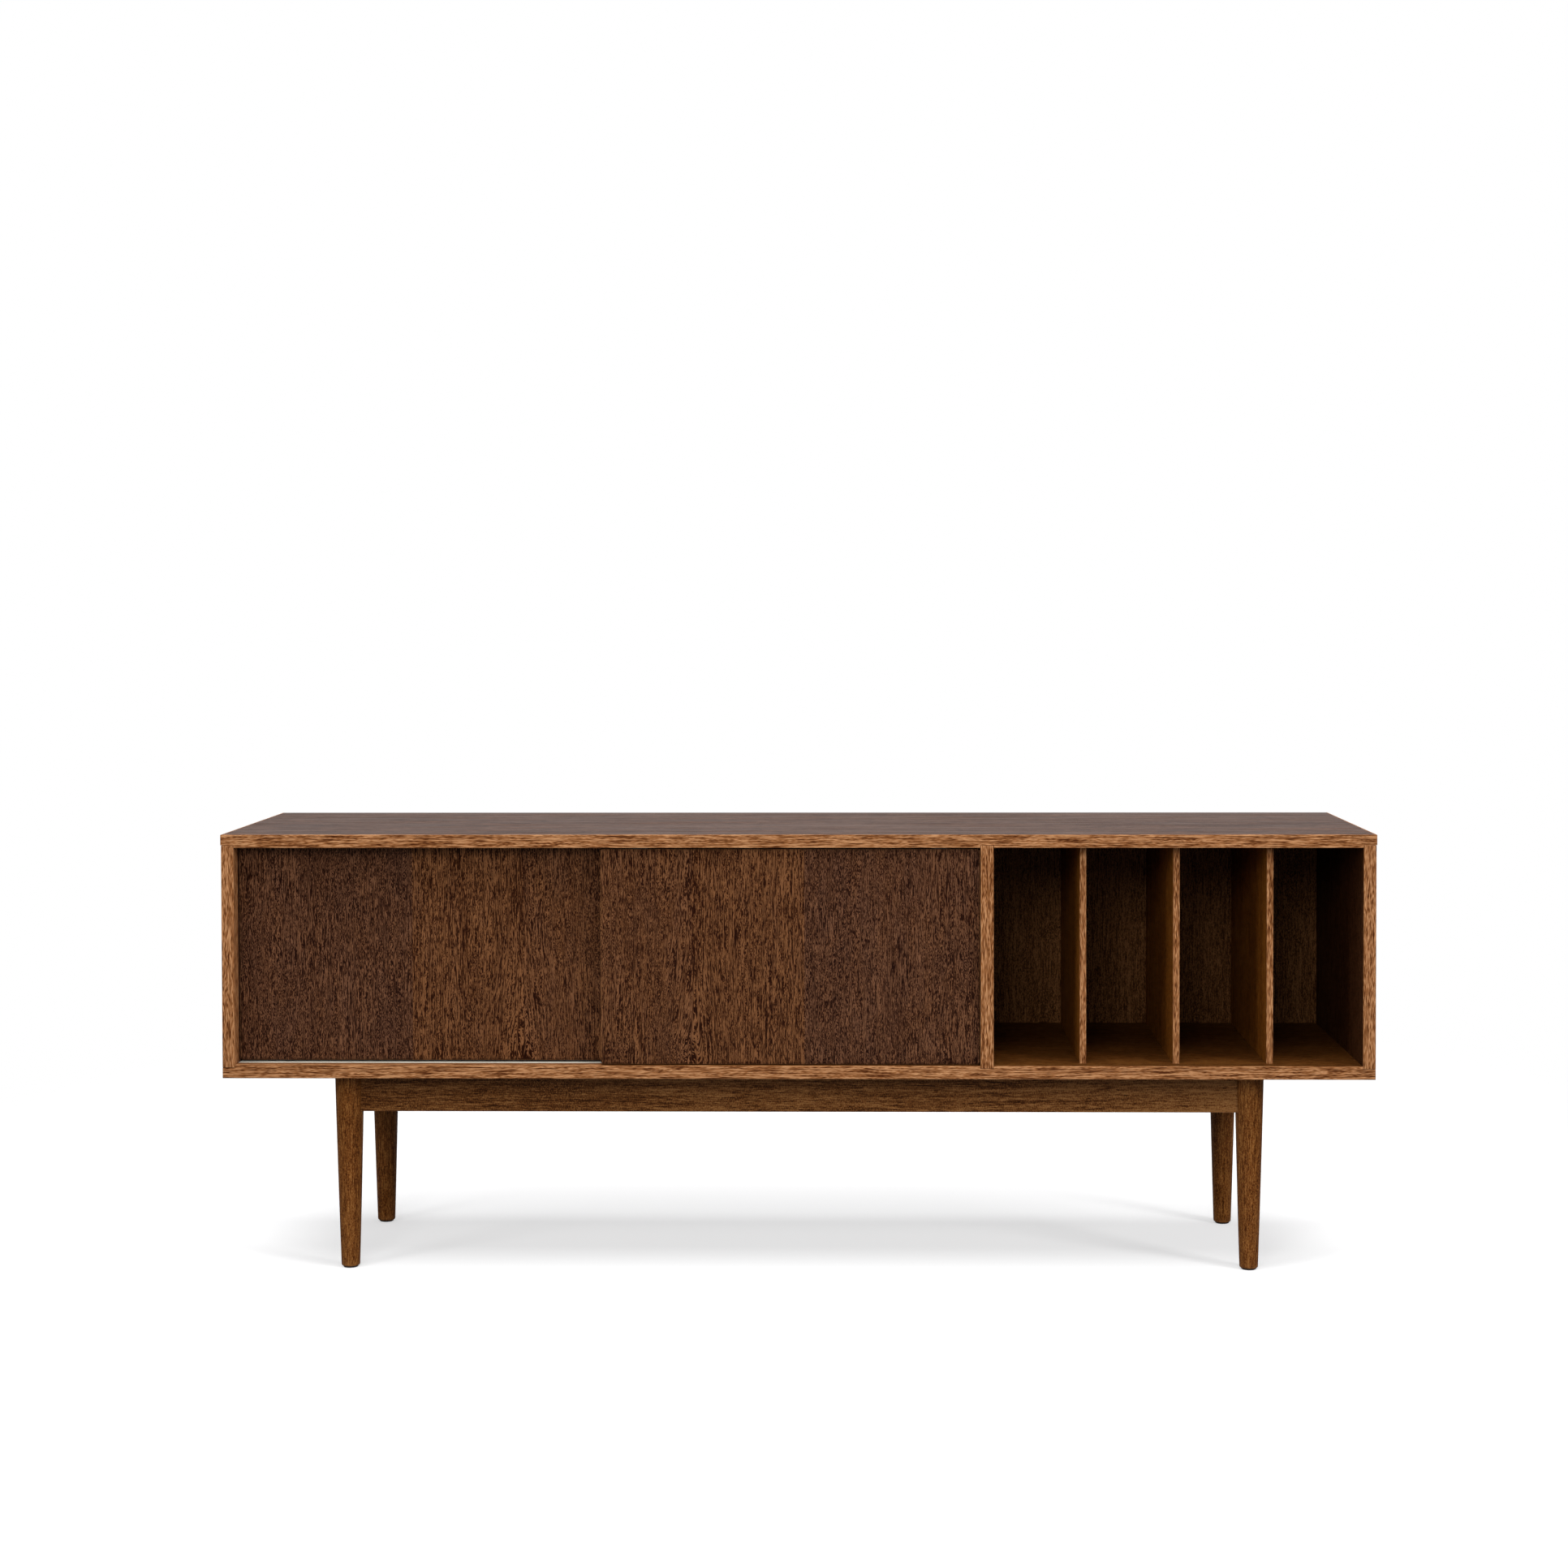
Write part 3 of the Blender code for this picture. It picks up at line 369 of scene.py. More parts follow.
# %% The wood's own space
TURNS = {"x": (0.0, -math.pi / 2, 0.0), "y": (math.pi / 2, 0.0, 0.0), "z": (0.0, 0.0, 0.0)}
MEETING = -0.2885
DARK_JOINT = 0.130
LEAF_CHANGE = 0.300
LEAVES = ((0.0, 0.75), (DARK_JOINT, 1.0), (LEAF_CHANGE, 0.18), (0.410, 0.25))
FAN_REACH, FAN_SPREAD = 0.075, 0.7
FAN_TOP, FAN_BOTTOM = 0.53, 0.34
FAR_LEAF_SHIFT = 0.4
JOINT_RAGGED = 0.03
JOINT_WIDTH = (0.009, 0.001)
JOINT_FOOT = (0.40, 0.52)
SPECKLE_SIDE = (0.12, 0.06)
SPECKLE_FOOT, SPECKLE_HEAD = (0.44, 0.50), (0.63, 0.58)
LOG_STEP = (0.713, 0.431, 0.967)
BEND, BEND_WIDTH = (6.0, 1.4), 0.024
STAGGER, STAGGER_LENGTH = (260.0, 3.0), 0.08


def parts(place):
    """The X, Y and Z of a place as three wires."""
    return [place.node("ShaderNodeSeparateXYZ", None, {0: place}, axis) for axis in "XYZ"]


def book_matched(place, outwards):
    """Places measured outwards from the meeting line, and three masks for the figure there.

    outwards is 1 for the right door and -1 for the left. The masks are how warm the leaf
    is, how close a place is to the dark joint, and how speckled the wood is.
    """
    x, y, z = parts(place)
    across = (x - MEETING) * outwards
    aside = across - DARK_JOINT
    fan = eased(abs(aside), FAN_REACH, 0.0) * eased(z, FAN_TOP, FAN_BOTTOM) * FAN_SPREAD
    shift = (across > LEAF_CHANGE) * FAR_LEAF_SHIFT
    opened = place.node("ShaderNodeCombineXYZ", None, {"X": across - aside * fan, "Y": y + shift, "Z": z})

    warmth = LEAVES[0][1]
    for (start, warm), (_, before) in zip(LEAVES[1:], LEAVES):
        warmth = (across > start) * (warm - before) + warmth
    ragged = (noise(opened, 60.0, 14.0, 2.0) - 0.5) * JOINT_RAGGED
    joint = eased(abs(aside) + ragged, *JOINT_WIDTH) * eased(z, *JOINT_FOOT)
    speckle = eased(across, *SPECKLE_SIDE) * eased(z, *SPECKLE_FOOT) * eased(z, *SPECKLE_HEAD)
    return opened, warmth, joint, speckle


def wood_space(place, along, seed):
    """Places turned so that the grain runs along Z, moved to a fresh part of the log, and gently bent."""
    turned = moved(place, tuple(step * seed for step in LOG_STEP), TURNS[along])
    drift = vector_maths(noise(turned, *BEND, 2.0, output="Colour"), "SUBTRACT", (0.5, 0.5, 0.5))
    bent = vector_maths(turned, "ADD", vector_maths(drift, "MULTIPLY", (BEND_WIDTH, BEND_WIDTH, 0.0)))
    stagger = noise(bent, *STAGGER) * STAGGER_LENGTH
    return vector_maths(bent, "ADD", bent.node("ShaderNodeCombineXYZ", None, {"Z": stagger}))


print("grain can run along", ", ".join(TURNS))

# %% [markdown]
# The arris of a panel is where hands and cloths rub, so it is a touch paler and
# smoother than the face. A panel is nearly a box, and how far a point is from the
# box's edges needs no baking: each axis gives the distance to its nearest face, and
# on the surface the middle one of the three is the distance to the nearest edge.


# %% Distance to a panel's edges
def edge_distance(place, low, high):
    """Metres to the nearest edge of the box from low to high, for a point on its surface."""
    gaps = []
    for axis, along in enumerate(parts(place)):
        middle, half = (low[axis] + high[axis]) / 2, (high[axis] - low[axis]) / 2
        gaps.append(half - abs(along - middle))
    smaller = place.maths("MINIMUM", gaps[0], gaps[1])
    larger = place.maths("MAXIMUM", gaps[0], gaps[1])
    return place.maths("MAXIMUM", smaller, place.maths("MINIMUM", larger, gaps[2]))


# %% [markdown]
# The stains are given as three screen colours: the dark of the pores, the body of
# the wood and the pale wood between the pores. The wall colours are a darker stain
# painted on the inner face of the right side, as shade where it shows in the last bay.

# %% Stains
WARM_VENEER = ((33, 9, 1), (70, 38, 17), (119, 78, 48))
COOL_VENEER = ((26, 7, 2), (58, 31, 18), (105, 71, 51))
TOP_VENEER = ((34, 14, 4), (76, 46, 28), (112, 74, 50))
INNER_VENEER = ((40, 16, 1), (78, 42, 12), (108, 68, 28))
DIVIDER_OAK = ((54, 24, 2), (116, 64, 16), (150, 96, 38))
LIPPING = ((72, 34, 10), (138, 88, 50), (184, 134, 92))
TURNED_OAK = ((58, 26, 3), (108, 62, 24), (144, 96, 48))
RAIL_OAK = ((46, 20, 3), (98, 58, 25), (134, 92, 52))
# painted shade for the inner wall of the right side
WALL_PAINTED_SHADE = ((26, 8, 1), (54, 28, 12), (84, 52, 30))
BACK_VENEER = ((56, 29, 13), (102, 65, 34), (136, 93, 56))


def stained(tone, stain):
    """A stain's three colours laid over a tone that runs from pore to pale wood."""
    dark, body, pale = [seen(*screen_colour) for screen_colour in stain]
    return ramp(tone, (0.0, dark), (0.5, body), (1.0, pale))


print("the palest lipping in linear light", [round(value, 3) for value in seen(*LIPPING[2])])

# %% [markdown]
# Figure is drawn by layers of noise, because each has its own size, in cells a metre
# across and along the grain. Long strokes, short strokes and dots make the grain that
# is seen close to, streaks and flecks are a few millimetres wide, and bands are slow
# changes of tone. In patches the veneer was cut across the pores, and there the dots
# take over from the strokes and the wood is darker.

# %% Figure
LONG_STROKES, SHORT_STROKES = (820.0, 27.0), (860.0, 110.0)
DOTS = (900.0, 380.0)
STREAKS, FLECKS = (150.0, 4.0), (170.0, 34.0)
BANDS = (24.0, 1.6)
PATCHES, PATCH_EDGE = (14.0, 9.0), (0.56, 0.72)
BODY_TONE = 0.52


def figure(wood, place, patchy, streak, contrast):
    """The tone of oak, from 0 in a pore to 1 in pale wood, and the mask of the pores.

    patchy, streak and contrast are how much there is of patches, streaks and fine grain.
    """
    other = vector_maths(wood, "ADD", (3.3, 1.7, 0.9))
    long_strokes = noise(wood, *LONG_STROKES, 0.0) - 0.5
    short_strokes = noise(other, *SHORT_STROKES, 0.0) - 0.5
    dots = noise(place, *DOTS, 0.0) - 0.5
    patch = eased(noise(other, *PATCHES, 2.0, 0.6) + patchy, *PATCH_EDGE)
    strokes = long_strokes * 2.0 + short_strokes * 2.4
    pores = eased(strokes, -0.10, -0.30)
    long_streaks = noise(other, *STREAKS, 2.0, 0.6) - 0.5
    bands = noise(wood, *BANDS, 2.0, 0.55) - 0.5
    fine = strokes * (1.0 - patch * 0.6) + dots * (patch * 1.6 + 2.6)
    flecks = noise(wood, *FLECKS, 0.0) - 0.5
    slow = (long_streaks + flecks * 0.3) * streak + bands * 0.6 - patch * 0.12
    return fine * contrast + slow + BODY_TONE, pores


print("figure has strokes, speckle, streaks and bands")

# %% [markdown]
# A lipping is a strip of solid oak glued over the edge of a veneered board. It was
# left paler than the faces. Where there is one is a matter of place: a list of
# boxes, each from a low to a high corner, says which parts of a board are lipping.

# %% Lippings
OPEN = None
EDGE_STREAKS, EDGE_STROKES = (600.0, 18.0), (760.0, 38.0)
EDGE_DOTS, EDGE_PALES = (900.0, 160.0), (120.0, 5.0)


def inside(place, low, high):
    """1 inside a box, 0 outside. A corner value of None leaves that side open."""
    tests = []
    for wire, lowest, highest in zip(parts(place), low, high):
        if lowest is not OPEN:
            tests.append(wire > lowest)
        if highest is not OPEN:
            tests.append(wire < highest)
    return reduce(mul, tests)


def edging_tone(wood, shorter=1.0):
    """The figure of a lipping: dark streaks a millimetre or two thick. shorter shortens them."""
    other = vector_maths(wood, "ADD", (1.3, 2.9, 0.4))
    streaks = noise(wood, EDGE_STREAKS[0], EDGE_STREAKS[1] * shorter, 0.0) - 0.5
    strokes = noise(other, EDGE_STROKES[0], EDGE_STROKES[1] * shorter, 0.0) - 0.5
    dots = noise(other, *EDGE_DOTS, 0.0) - 0.5
    pales = noise(other, *EDGE_PALES, 2.0) - 0.5
    return 0.53 + (streaks + strokes) * (1.6 - shorter * 0.2) + dots * 1.5 + pales * 0.4


print("lippings are placed by boxes")

# %% [markdown]
# A door's colour is worked out apart from a board's. Its leaves are mixed from a warm
# and a cool stain. The dark joint takes tone away, and so does a painted shadow along
# the bottom edge, which reads as a dark line above the track. A board has one stain all
# over, but it may pale along its length, a painted gradient of light, and one face of
# it may be darker, a painted shade.

# %% The colour of a door and of a board
# DOOR_BOTTOM_SHADOW and DOOR_BOTTOM_SHADOW_DEPTH give a painted shadow: a darker band along the door's
# bottom edge
DOOR_BOTTOM_SHADOW = (0.0035, 0.001)
DOOR_BOTTOM_SHADOW_DEPTH, JOINT_SHADE = 0.7, 0.40
DOOR_PATCHES, WARM_CLEARS, SPECKLE_ADDS = 0.24, 0.22, 0.24
BOARD_PATCHES = 0.02
LEAF_BLUR = (45.0, 16.0)


def door_colour(place, stain, seed, bottom, outwards, streak, contrast):
    """The wood's space, tone, pores and colour for a book-matched door. bottom is its lowest height."""
    opened, warmth, joint, speckle = book_matched(place, outwards)
    wood = wood_space(opened, "z", seed)
    patchy = DOOR_PATCHES - warmth * WARM_CLEARS + speckle * SPECKLE_ADDS
    tone, pores = figure(wood, wood, patchy, streak, contrast)
    warmth = warmth + (noise(wood, *LEAF_BLUR) - 0.5) * 0.9
    # painted shadow: the tone is darkened in a band just above the door's bottom edge
    tone = tone - eased(parts(place)[2] - bottom, *DOOR_BOTTOM_SHADOW) * DOOR_BOTTOM_SHADOW_DEPTH
    colour = mixed(warmth, stained(tone, COOL_VENEER), stained(tone - joint * JOINT_SHADE, stain))
    return wood, tone, pores, colour


def board_colour(place, stain, along, seed, streak, contrast, painted_light_slope, inner):
    """The wood's space, tone, pores and colour for any other piece."""
    wood = wood_space(place, along, seed)
    tone, pores = figure(wood, place, BOARD_PATCHES, streak, contrast)
    # painted light: the tone rises towards the right
    if painted_light_slope:
        tone = tone + parts(place)[0] * painted_light_slope
    colour = stained(tone, stain)
    # painted shade: the inner face of a side panel takes a darker stain
    if inner is not None:
        colour = mixed(parts(place)[0] < inner, colour, stained(tone, WALL_PAINTED_SHADE))
    return wood, tone, pores, colour


print("doors are laid up from", len(LEAVES), "leaves")

# %% [markdown]
# Three things are laid over the colour. Fibres, finer than the pores, keep the wood
# from looking flat when it is seen close to. Worn edges are paler and smoother. The
# top alone has a film of lacquer, which is a coat over the wood: its weight changes
# along the grain, so its sheen comes in streaks.

# %% The oak finish
FIBRES, FIBRE_DEPTH = (2400.0, 70.0), 1.3
RUB = (60.0, 60.0)
PANEL_WEAR, PANEL_RUB = (0.0020, 0.0003), 0.0016
FOOT_WEAR, FOOT_RUB = (0.012, 0.001), 0.016
WORN_OAK, WORN_SHARE = (160, 112, 70), 0.12
SHORTER_STREAKS = 2.5
FILM_STREAKS = (110.0, 6.0)


def wear(place, box, foot):
    """The uneven rub over a piece, and how worn its edges are."""
    rub = noise(place, *RUB, 2.0) - 0.5
    if box:
        return rub, eased(edge_distance(place, *box) + rub * PANEL_RUB, *PANEL_WEAR)
    return rub, eased(parts(place)[2] - foot + rub * FOOT_RUB, *FOOT_WEAR)


def oak(
    name, stain, along, seed, box, lippings=(), contrast=0.6, streak=0.5, polish=0.0, outwards=0, foot=None,
    painted_light_slope=0.0, inner=None,
):
    """A stained oak material for one piece.

    lippings are boxes of paler solid edging. outwards is the way from the meeting line
    for a book-matched door. foot is the height of a leg's foot, for a round piece without
    a box. lighter is how much the wood pales in a metre to the right, a painted gradient
    of light. Left of the X that inner gives, a side panel takes a darker stain on its
    inner face, a painted shade.
    """
    material, bench = plain_material(name)
    place = bench.node("ShaderNodeTexCoord", output="Object")
    if outwards:
        wood, tone, pores, colour = door_colour(place, stain, seed, box[0].z, outwards, streak, contrast)
    else:
        wood, tone, pores, colour = board_colour(place, stain, along, seed, streak, contrast, painted_light_slope, inner)

    if lippings:
        solid = inside(place, *lippings[0])
        for low, high in lippings[1:]:
            solid = bench.maths("MAXIMUM", solid, inside(place, low, high))
        shorter = SHORTER_STREAKS if along == "z" else 1.0
        colour = mixed(solid, colour, stained(edging_tone(wood, shorter), LIPPING))

    fibres = noise(wood, *FIBRES, 2.0, 0.6) - 0.5
    colour = vector_maths(colour, "MULTIPLY", fibres * FIBRE_DEPTH + 1.0)
    rub, worn = wear(place, box, foot)
    colour = mixed(worn * WORN_SHARE, colour, seen(*WORN_OAK))

    roughness = 0.47 + pores * 0.14 - worn * 0.06 + rub * 0.10
    normal = bench.node("ShaderNodeBump", None, {"Strength": 0.25, "Distance": 0.0003, "Height": tone})
    sockets = {"Base Color": colour, "Roughness": roughness, "Normal": normal, "Specular IOR Level": 0.1}
    if polish:
        film = (noise(wood, *FILM_STREAKS, 2.0) - 0.5) * 1.9 + (tone - 0.5) * 0.5 + polish
        sockets.update({"Coat Weight": (1.0 - solid) * film, "Coat Roughness": 0.30})
    finished(bench, bench.node("ShaderNodeBsdfPrincipled", None, sockets))
    return material


def dress(node, material):
    """Gives a CAD node a material without touching its mesh."""
    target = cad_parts[node]
    if not target.material_slots:
        target.data.materials.append(material)
    for material_slot in target.material_slots:
        material_slot.material = material


print("oak can be laid in any stain")

# %% [markdown]
# ## The case
#
# The top, bottom and sides are board with dark smoked veneer on their faces. Their
# front edges have solid lippings, which draw the thin warm frame round the dark
# front. The left side is solid as far back as the doors run, because a sliding door
# would wear veneer through there, but its last 6 mm before the door's face are left
# dark, a painted shadow of the gap beside the door. The floor before the rear door is
# solid too. Under the right door the floor is left dark, a painted shadow of the gap
# below that door, which draws the thin line below it. Grain follows the length of each
# board. The top has stronger streaks than the other boards, and a film of lacquer.

# %% Veneer the case
LIP = 0.0028
STOP_SIDE, GAP_SHADOW_DEPTH = 0.0015, 0.006
INNER_FACE = 0.001
TOP_FILM, TOP_STREAK = 0.9, 1.3
TRACK_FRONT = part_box("bottom_track")[0].y
DOOR_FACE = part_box("left_door")[0].y
RIGHT_DOOR_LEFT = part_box("right_door")[0].x
INNER_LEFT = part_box("left_door")[0].x


def front_lip(node):
    """The lipping over a board's front edge."""
    return (OPEN, OPEN, OPEN), (OPEN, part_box(node)[0].y + LIP, OPEN)


def end_lips(node):
    """The lippings over the left and right ends of a board."""
    low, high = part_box(node)
    return ((OPEN, OPEN, OPEN), (low.x + LIP, OPEN, OPEN)), ((high.x - LIP, OPEN, OPEN), (OPEN, OPEN, OPEN))


# painted shadow: the strip before the track is pale lipping only left of the right door, and stays dark
# under it
TRACK_STRIP = ((OPEN, OPEN, OPEN), (RIGHT_DOOR_LEFT, TRACK_FRONT, OPEN))
# painted shadow: the left side's inner face stays dark for its last few mm before the door's face
DOOR_STOP = ((INNER_LEFT - STOP_SIDE, OPEN, OPEN), (OPEN, DOOR_FACE - GAP_SHADOW_DEPTH, OPEN))
BOARDS = {
    "top_panel": ("x", TOP_VENEER, end_lips("top_panel")),
    "bottom_panel": ("x", INNER_VENEER, (*end_lips("bottom_panel"), TRACK_STRIP)),
    "left_side_panel": ("z", COOL_VENEER, (DOOR_STOP,)),
    "right_side_panel": ("z", COOL_VENEER, ()),
    "bay_partition": ("z", INNER_VENEER, ()),
    "bay_divider_1": ("z", DIVIDER_OAK, ()),
    "bay_divider_2": ("z", DIVIDER_OAK, ()),
    "bay_divider_3": ("z", DIVIDER_OAK, ()),
    "middle_partition": ("z", INNER_VENEER, ()),
    "back_panel": ("z", BACK_VENEER, None),
    "left_shelf": ("x", INNER_VENEER, ()),
    "right_shelf": ("x", INNER_VENEER, ()),
}
for number, (node, (along, stain, more)) in enumerate(BOARDS.items()):
    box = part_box(node)
    lippings = (front_lip(node), *more) if more is not None else ()
    extras = {}
    if node == "top_panel":
        extras = {"streak": TOP_STREAK, "polish": TOP_FILM}
    if node == "right_side_panel":
        extras = {"inner": box[0].x + INNER_FACE}
    dress(node, oak(node + "_oak", stain, along, number + 1, box, lippings, **extras))
print("veneered", len(BOARDS), "boards")

# %% [markdown]
# ## The doors
#
# Each door is one board with vertical grain, and its contrast is the strongest on the
# piece. Both doors take their figure from the same part of the log, which is what
# makes them a pair.

# %% Veneer the doors
DOOR_LOG = 21
DOOR_CONTRAST = 1.4
for node, outwards in (("left_door", -1), ("right_door", 1)):
    look = {"contrast": DOOR_CONTRAST, "outwards": outwards}
    dress(node, oak(node + "_oak", WARM_VENEER, "z", DOOR_LOG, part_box(node), **look))
print("veneered the doors, with leaves that change at", [start for start, warm in LEAVES[1:]], "m")

# %% [markdown]
# ## The base
#
# The rails are solid oak, a shade warmer than the doors, with the grain along their
# length. The front rail pales a little to the right, a painted gradient of the light,
# which is stronger from that side. The corner blocks that nobody sees are the same oak.

# %% Stain the rails and blocks
RAILS = {"front_rail": "x", "rear_rail": "x", "left_rail": "y", "right_rail": "y"}
# painted light: the front rail's wood is made paler towards the right
RAIL_PAINTED_LIGHT = 0.24
for number, (node, along) in enumerate(RAILS.items()):
    look = {"contrast": 0.5, "streak": 1.2, "painted_light_slope": RAIL_PAINTED_LIGHT if node == "front_rail" else 0.0}
    dress(node, oak(node + "_oak", RAIL_OAK, along, number + 31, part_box(node), **look))
CORNERS = [end + "_" + side for end in ("front", "rear") for side in ("left", "right")]
for number, corner in enumerate(CORNERS):
    node = corner + "_corner_block"
    dress(node, oak(node + "_oak", RAIL_OAK, "x", number + 36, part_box(node)))
print("stained", len(RAILS) + len(CORNERS), "solid pieces")

# %% [markdown]
# A leg is turned on a lathe: it tapers from 44.5 mm under the case to 28 mm at the
# foot, with a slight swell half way so that it doesn't look hollow. Half its outline
# spun round its axis is the same act in Blender. The CAD leg has 28 sides; a leg that
# close to a lens needs to be truly round.

# %% Turn a leg
LEG_TOP, LEG_FOOT = 0.0445, 0.0282
SWELL = 0.0009
leg_low, leg_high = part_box("front_left_leg")
LEG_LENGTH = leg_high.z - leg_low.z
ROUNDING = 0.0025
ARRIS = 0.0008
ROUNDING_STEPS, RISE_STEPS = 6, 16


def leg_radius(height):
    """The leg's radius at a height above its foot."""
    share = height / LEG_LENGTH
    return (LEG_FOOT + (LEG_TOP - LEG_FOOT) * share + 4 * SWELL * share * (1 - share)) / 2


def leg_outline():
    """Half the leg's outline, as (radius, height) from the middle of the foot to the middle of the top."""
    points = [(0.0, 0.0)]
    for step in range(ROUNDING_STEPS + 1):
        angle = math.pi / 2 * (1 - step / ROUNDING_STEPS)
        radius = leg_radius(ROUNDING) - ROUNDING * (1 - math.cos(angle))
        points.append((radius, ROUNDING * (1 - math.sin(angle))))
    rise = LEG_LENGTH - ARRIS - ROUNDING
    heights = [ROUNDING + rise * step / RISE_STEPS for step in range(1, RISE_STEPS + 1)]
    points += [(leg_radius(height), height) for height in heights]
    return points + [(leg_radius(LEG_LENGTH) - ARRIS, LEG_LENGTH), (0.0, LEG_LENGTH)]


def spun(name, outline, place, segments=96):
    """An object made by spinning (radius, height) points round an upright axis through place."""
    shape = bmesh.new()
    rim = [shape.verts.new((radius, 0.0, height)) for radius, height in outline]
    edges = [shape.edges.new(pair) for pair in zip(rim, rim[1:])]
    turn = {"cent": (0, 0, 0), "axis": (0, 0, 1), "angle": math.tau, "steps": segments, "use_merge": True}
    bmesh.ops.spin(shape, geom=rim + edges, **turn)
    bmesh.ops.remove_doubles(shape, verts=shape.verts, dist=0.00001)
    bmesh.ops.recalc_face_normals(shape, faces=shape.faces)
    bmesh.ops.translate(shape, verts=shape.verts, vec=place)
    mesh = bpy.data.meshes.new(name)
    shape.to_mesh(mesh)
    shape.free()
    made = bpy.data.objects.new(name, mesh)
    scene.collection.objects.link(made)
    return made


def smooth(made, sharpest=35):
    """Shades a piece smooth, but keeps edges sharper than that angle crisp."""
    made.data.shade_smooth()
    made.data.set_sharp_from_angle(angle=math.radians(sharpest))


sample_radii = [round(leg_radius(LEG_LENGTH * share) * 2000, 1) for share in (0.0, 0.5, 1.0)]
print("leg diameters at foot, middle and top, mm:", sample_radii)

# %% [markdown]
# The rails end in tenons, and each leg has two mortises for them and a small hole
# in the foot for the glide's stem. They are cut with a Boolean, as a chisel would,
# and the result is kept as a plain mesh.

# %% Cut the mortises and set the legs
TENON_LOW, TENON_HIGH = 0.2527, 0.2927
TENON_TIP, TENON_HALF = 0.0065, 0.005
MORTISE_REACH = 0.03
EASE = 0.0003
STEM_HOLE, STEM_SIDES = 0.0023, 24
STEM_DEPTH, STEM_START = 0.0123, -0.01


def block(name, low, high):
    """A plain box between two corners, to cut with."""
    shape = bmesh.new()
    centre = (Vector(low) + Vector(high)) / 2
    grow = Matrix.Diagonal((*(Vector(high) - Vector(low)), 1.0))
    bmesh.ops.create_cube(shape, size=1.0, matrix=Matrix.Translation(centre) @ grow)
    mesh = bpy.data.meshes.new(name)
    shape.to_mesh(mesh)
    shape.free()
    made = bpy.data.objects.new(name, mesh)
    scene.collection.objects.link(made)
    return made


def carve(made, cutters):
    """Cuts the cutters out of a piece and takes them away."""
    for cutter in cutters:
        cut = made.modifiers.new(cutter.name, "BOOLEAN")
        cut.operation, cut.solver, cut.object = "DIFFERENCE", "EXACT", cutter
    carved = bpy.data.meshes.new_from_object(made.evaluated_get(bpy.context.evaluated_depsgraph_get()))
    made.modifiers.clear()
    made.data = carved
    for cutter in cutters:
        bpy.data.objects.remove(cutter)


for number, corner in enumerate(CORNERS):
    low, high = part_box(corner + "_leg")
    centre = (low + high) / 2
    leg = spun(corner + "_turned_leg", leg_outline(), (centre.x, centre.y, low.z))
    toward = Vector((-math.copysign(1, centre.x), -math.copysign(1, centre.y)))
    cutters = []
    for axis in (0, 1):
        near, far = centre.copy(), centre.copy()
        near[axis] += toward[axis] * (TENON_TIP - EASE)
        far[axis] += toward[axis] * MORTISE_REACH
        near[1 - axis] -= TENON_HALF + EASE
        far[1 - axis] += TENON_HALF + EASE
        near.z, far.z = TENON_LOW - EASE, TENON_HIGH + EASE
        corners = [[min(pair) for pair in zip(near, far)], [max(pair) for pair in zip(near, far)]]
        cutters.append(block(f"{corner}_mortise_{axis}", *corners))
    hole = [(0.0, STEM_START), (STEM_HOLE, STEM_START), (STEM_HOLE, STEM_DEPTH), (0.0, STEM_DEPTH)]
    cutters.append(spun(corner + "_stem_hole", hole, (centre.x, centre.y, low.z), STEM_SIDES))
    carve(leg, cutters)
    smooth(leg)
    leg.data.materials.clear()
    look = {"contrast": 0.45, "foot": low.z}
    leg.data.materials.append(oak(corner + "_leg_oak", TURNED_OAK, "z", number + 41, None, **look))
    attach(leg, "case")
    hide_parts(corner + "_leg")
    print(leg.name, len(leg.data.polygons), "faces")

# %% [markdown]
# ## Metal and plastic
#
# Little of the fittings shows, but a door can be opened, and the bright edge of the
# bottom track runs in front of the left door. Drawn aluminium has fine lines along
# its length, zinc plate is a cloudy grey, and moulded plastic has an even tooth.
# The bumps are tiny; most of what the eye reads is the change in roughness.

# %% Finishes for the fittings
STEEL_TINT = (176, 178, 180)
BROWN_SKIN = ((112, 68, 34), (150, 98, 56))
DUST = (150, 142, 132)


def drawn_metal(name, tint, rough, along, seed, bareness=1.0, brown_before=None):
    """Metal with fine lines along one axis.

    bareness is 1 for bare metal and less under a chalky anodised skin. In front of the Y
    that brown_before gives, the skin is brown.
    """
    material, bench = plain_material(name)
    place = bench.node("ShaderNodeTexCoord", output="Object")
    turned = moved(place, (0.31 * seed, 0.17 * seed, 0.73 * seed), TURNS[along])
    lines = noise(turned, 2600.0, 18.0, 1.0) - 0.5
    tarnish = noise(place, 22.0, 22.0, 3.0) - 0.5
    scratch = eased(noise(turned, 900.0, 900.0, 2.0, 0.7), 0.70, 0.76)
    tone = lines * 0.5 + tarnish * 0.8 + 0.5
    dark, pale = [seen(*[value * share for value in tint]) for share in (0.80, 1.0)]
    colour = between(tone, dark, pale)
    if brown_before is not None:
        brown = between(tone, *[seen(*skin) for skin in BROWN_SKIN])
        colour = mixed(parts(place)[1] < brown_before, colour, brown)
    roughness = lines * 0.16 + tarnish * 0.20 + scratch * 0.15 + rough
    relief = lines * 0.6 - scratch * 0.4
    normal = bench.node("ShaderNodeBump", None, {"Strength": 0.15, "Distance": 0.0001, "Height": relief})
    sockets = {"Base Color": colour, "Metallic": bareness, "Roughness": roughness, "Normal": normal}
    finished(bench, bench.node("ShaderNodeBsdfPrincipled", None, sockets))
    return material


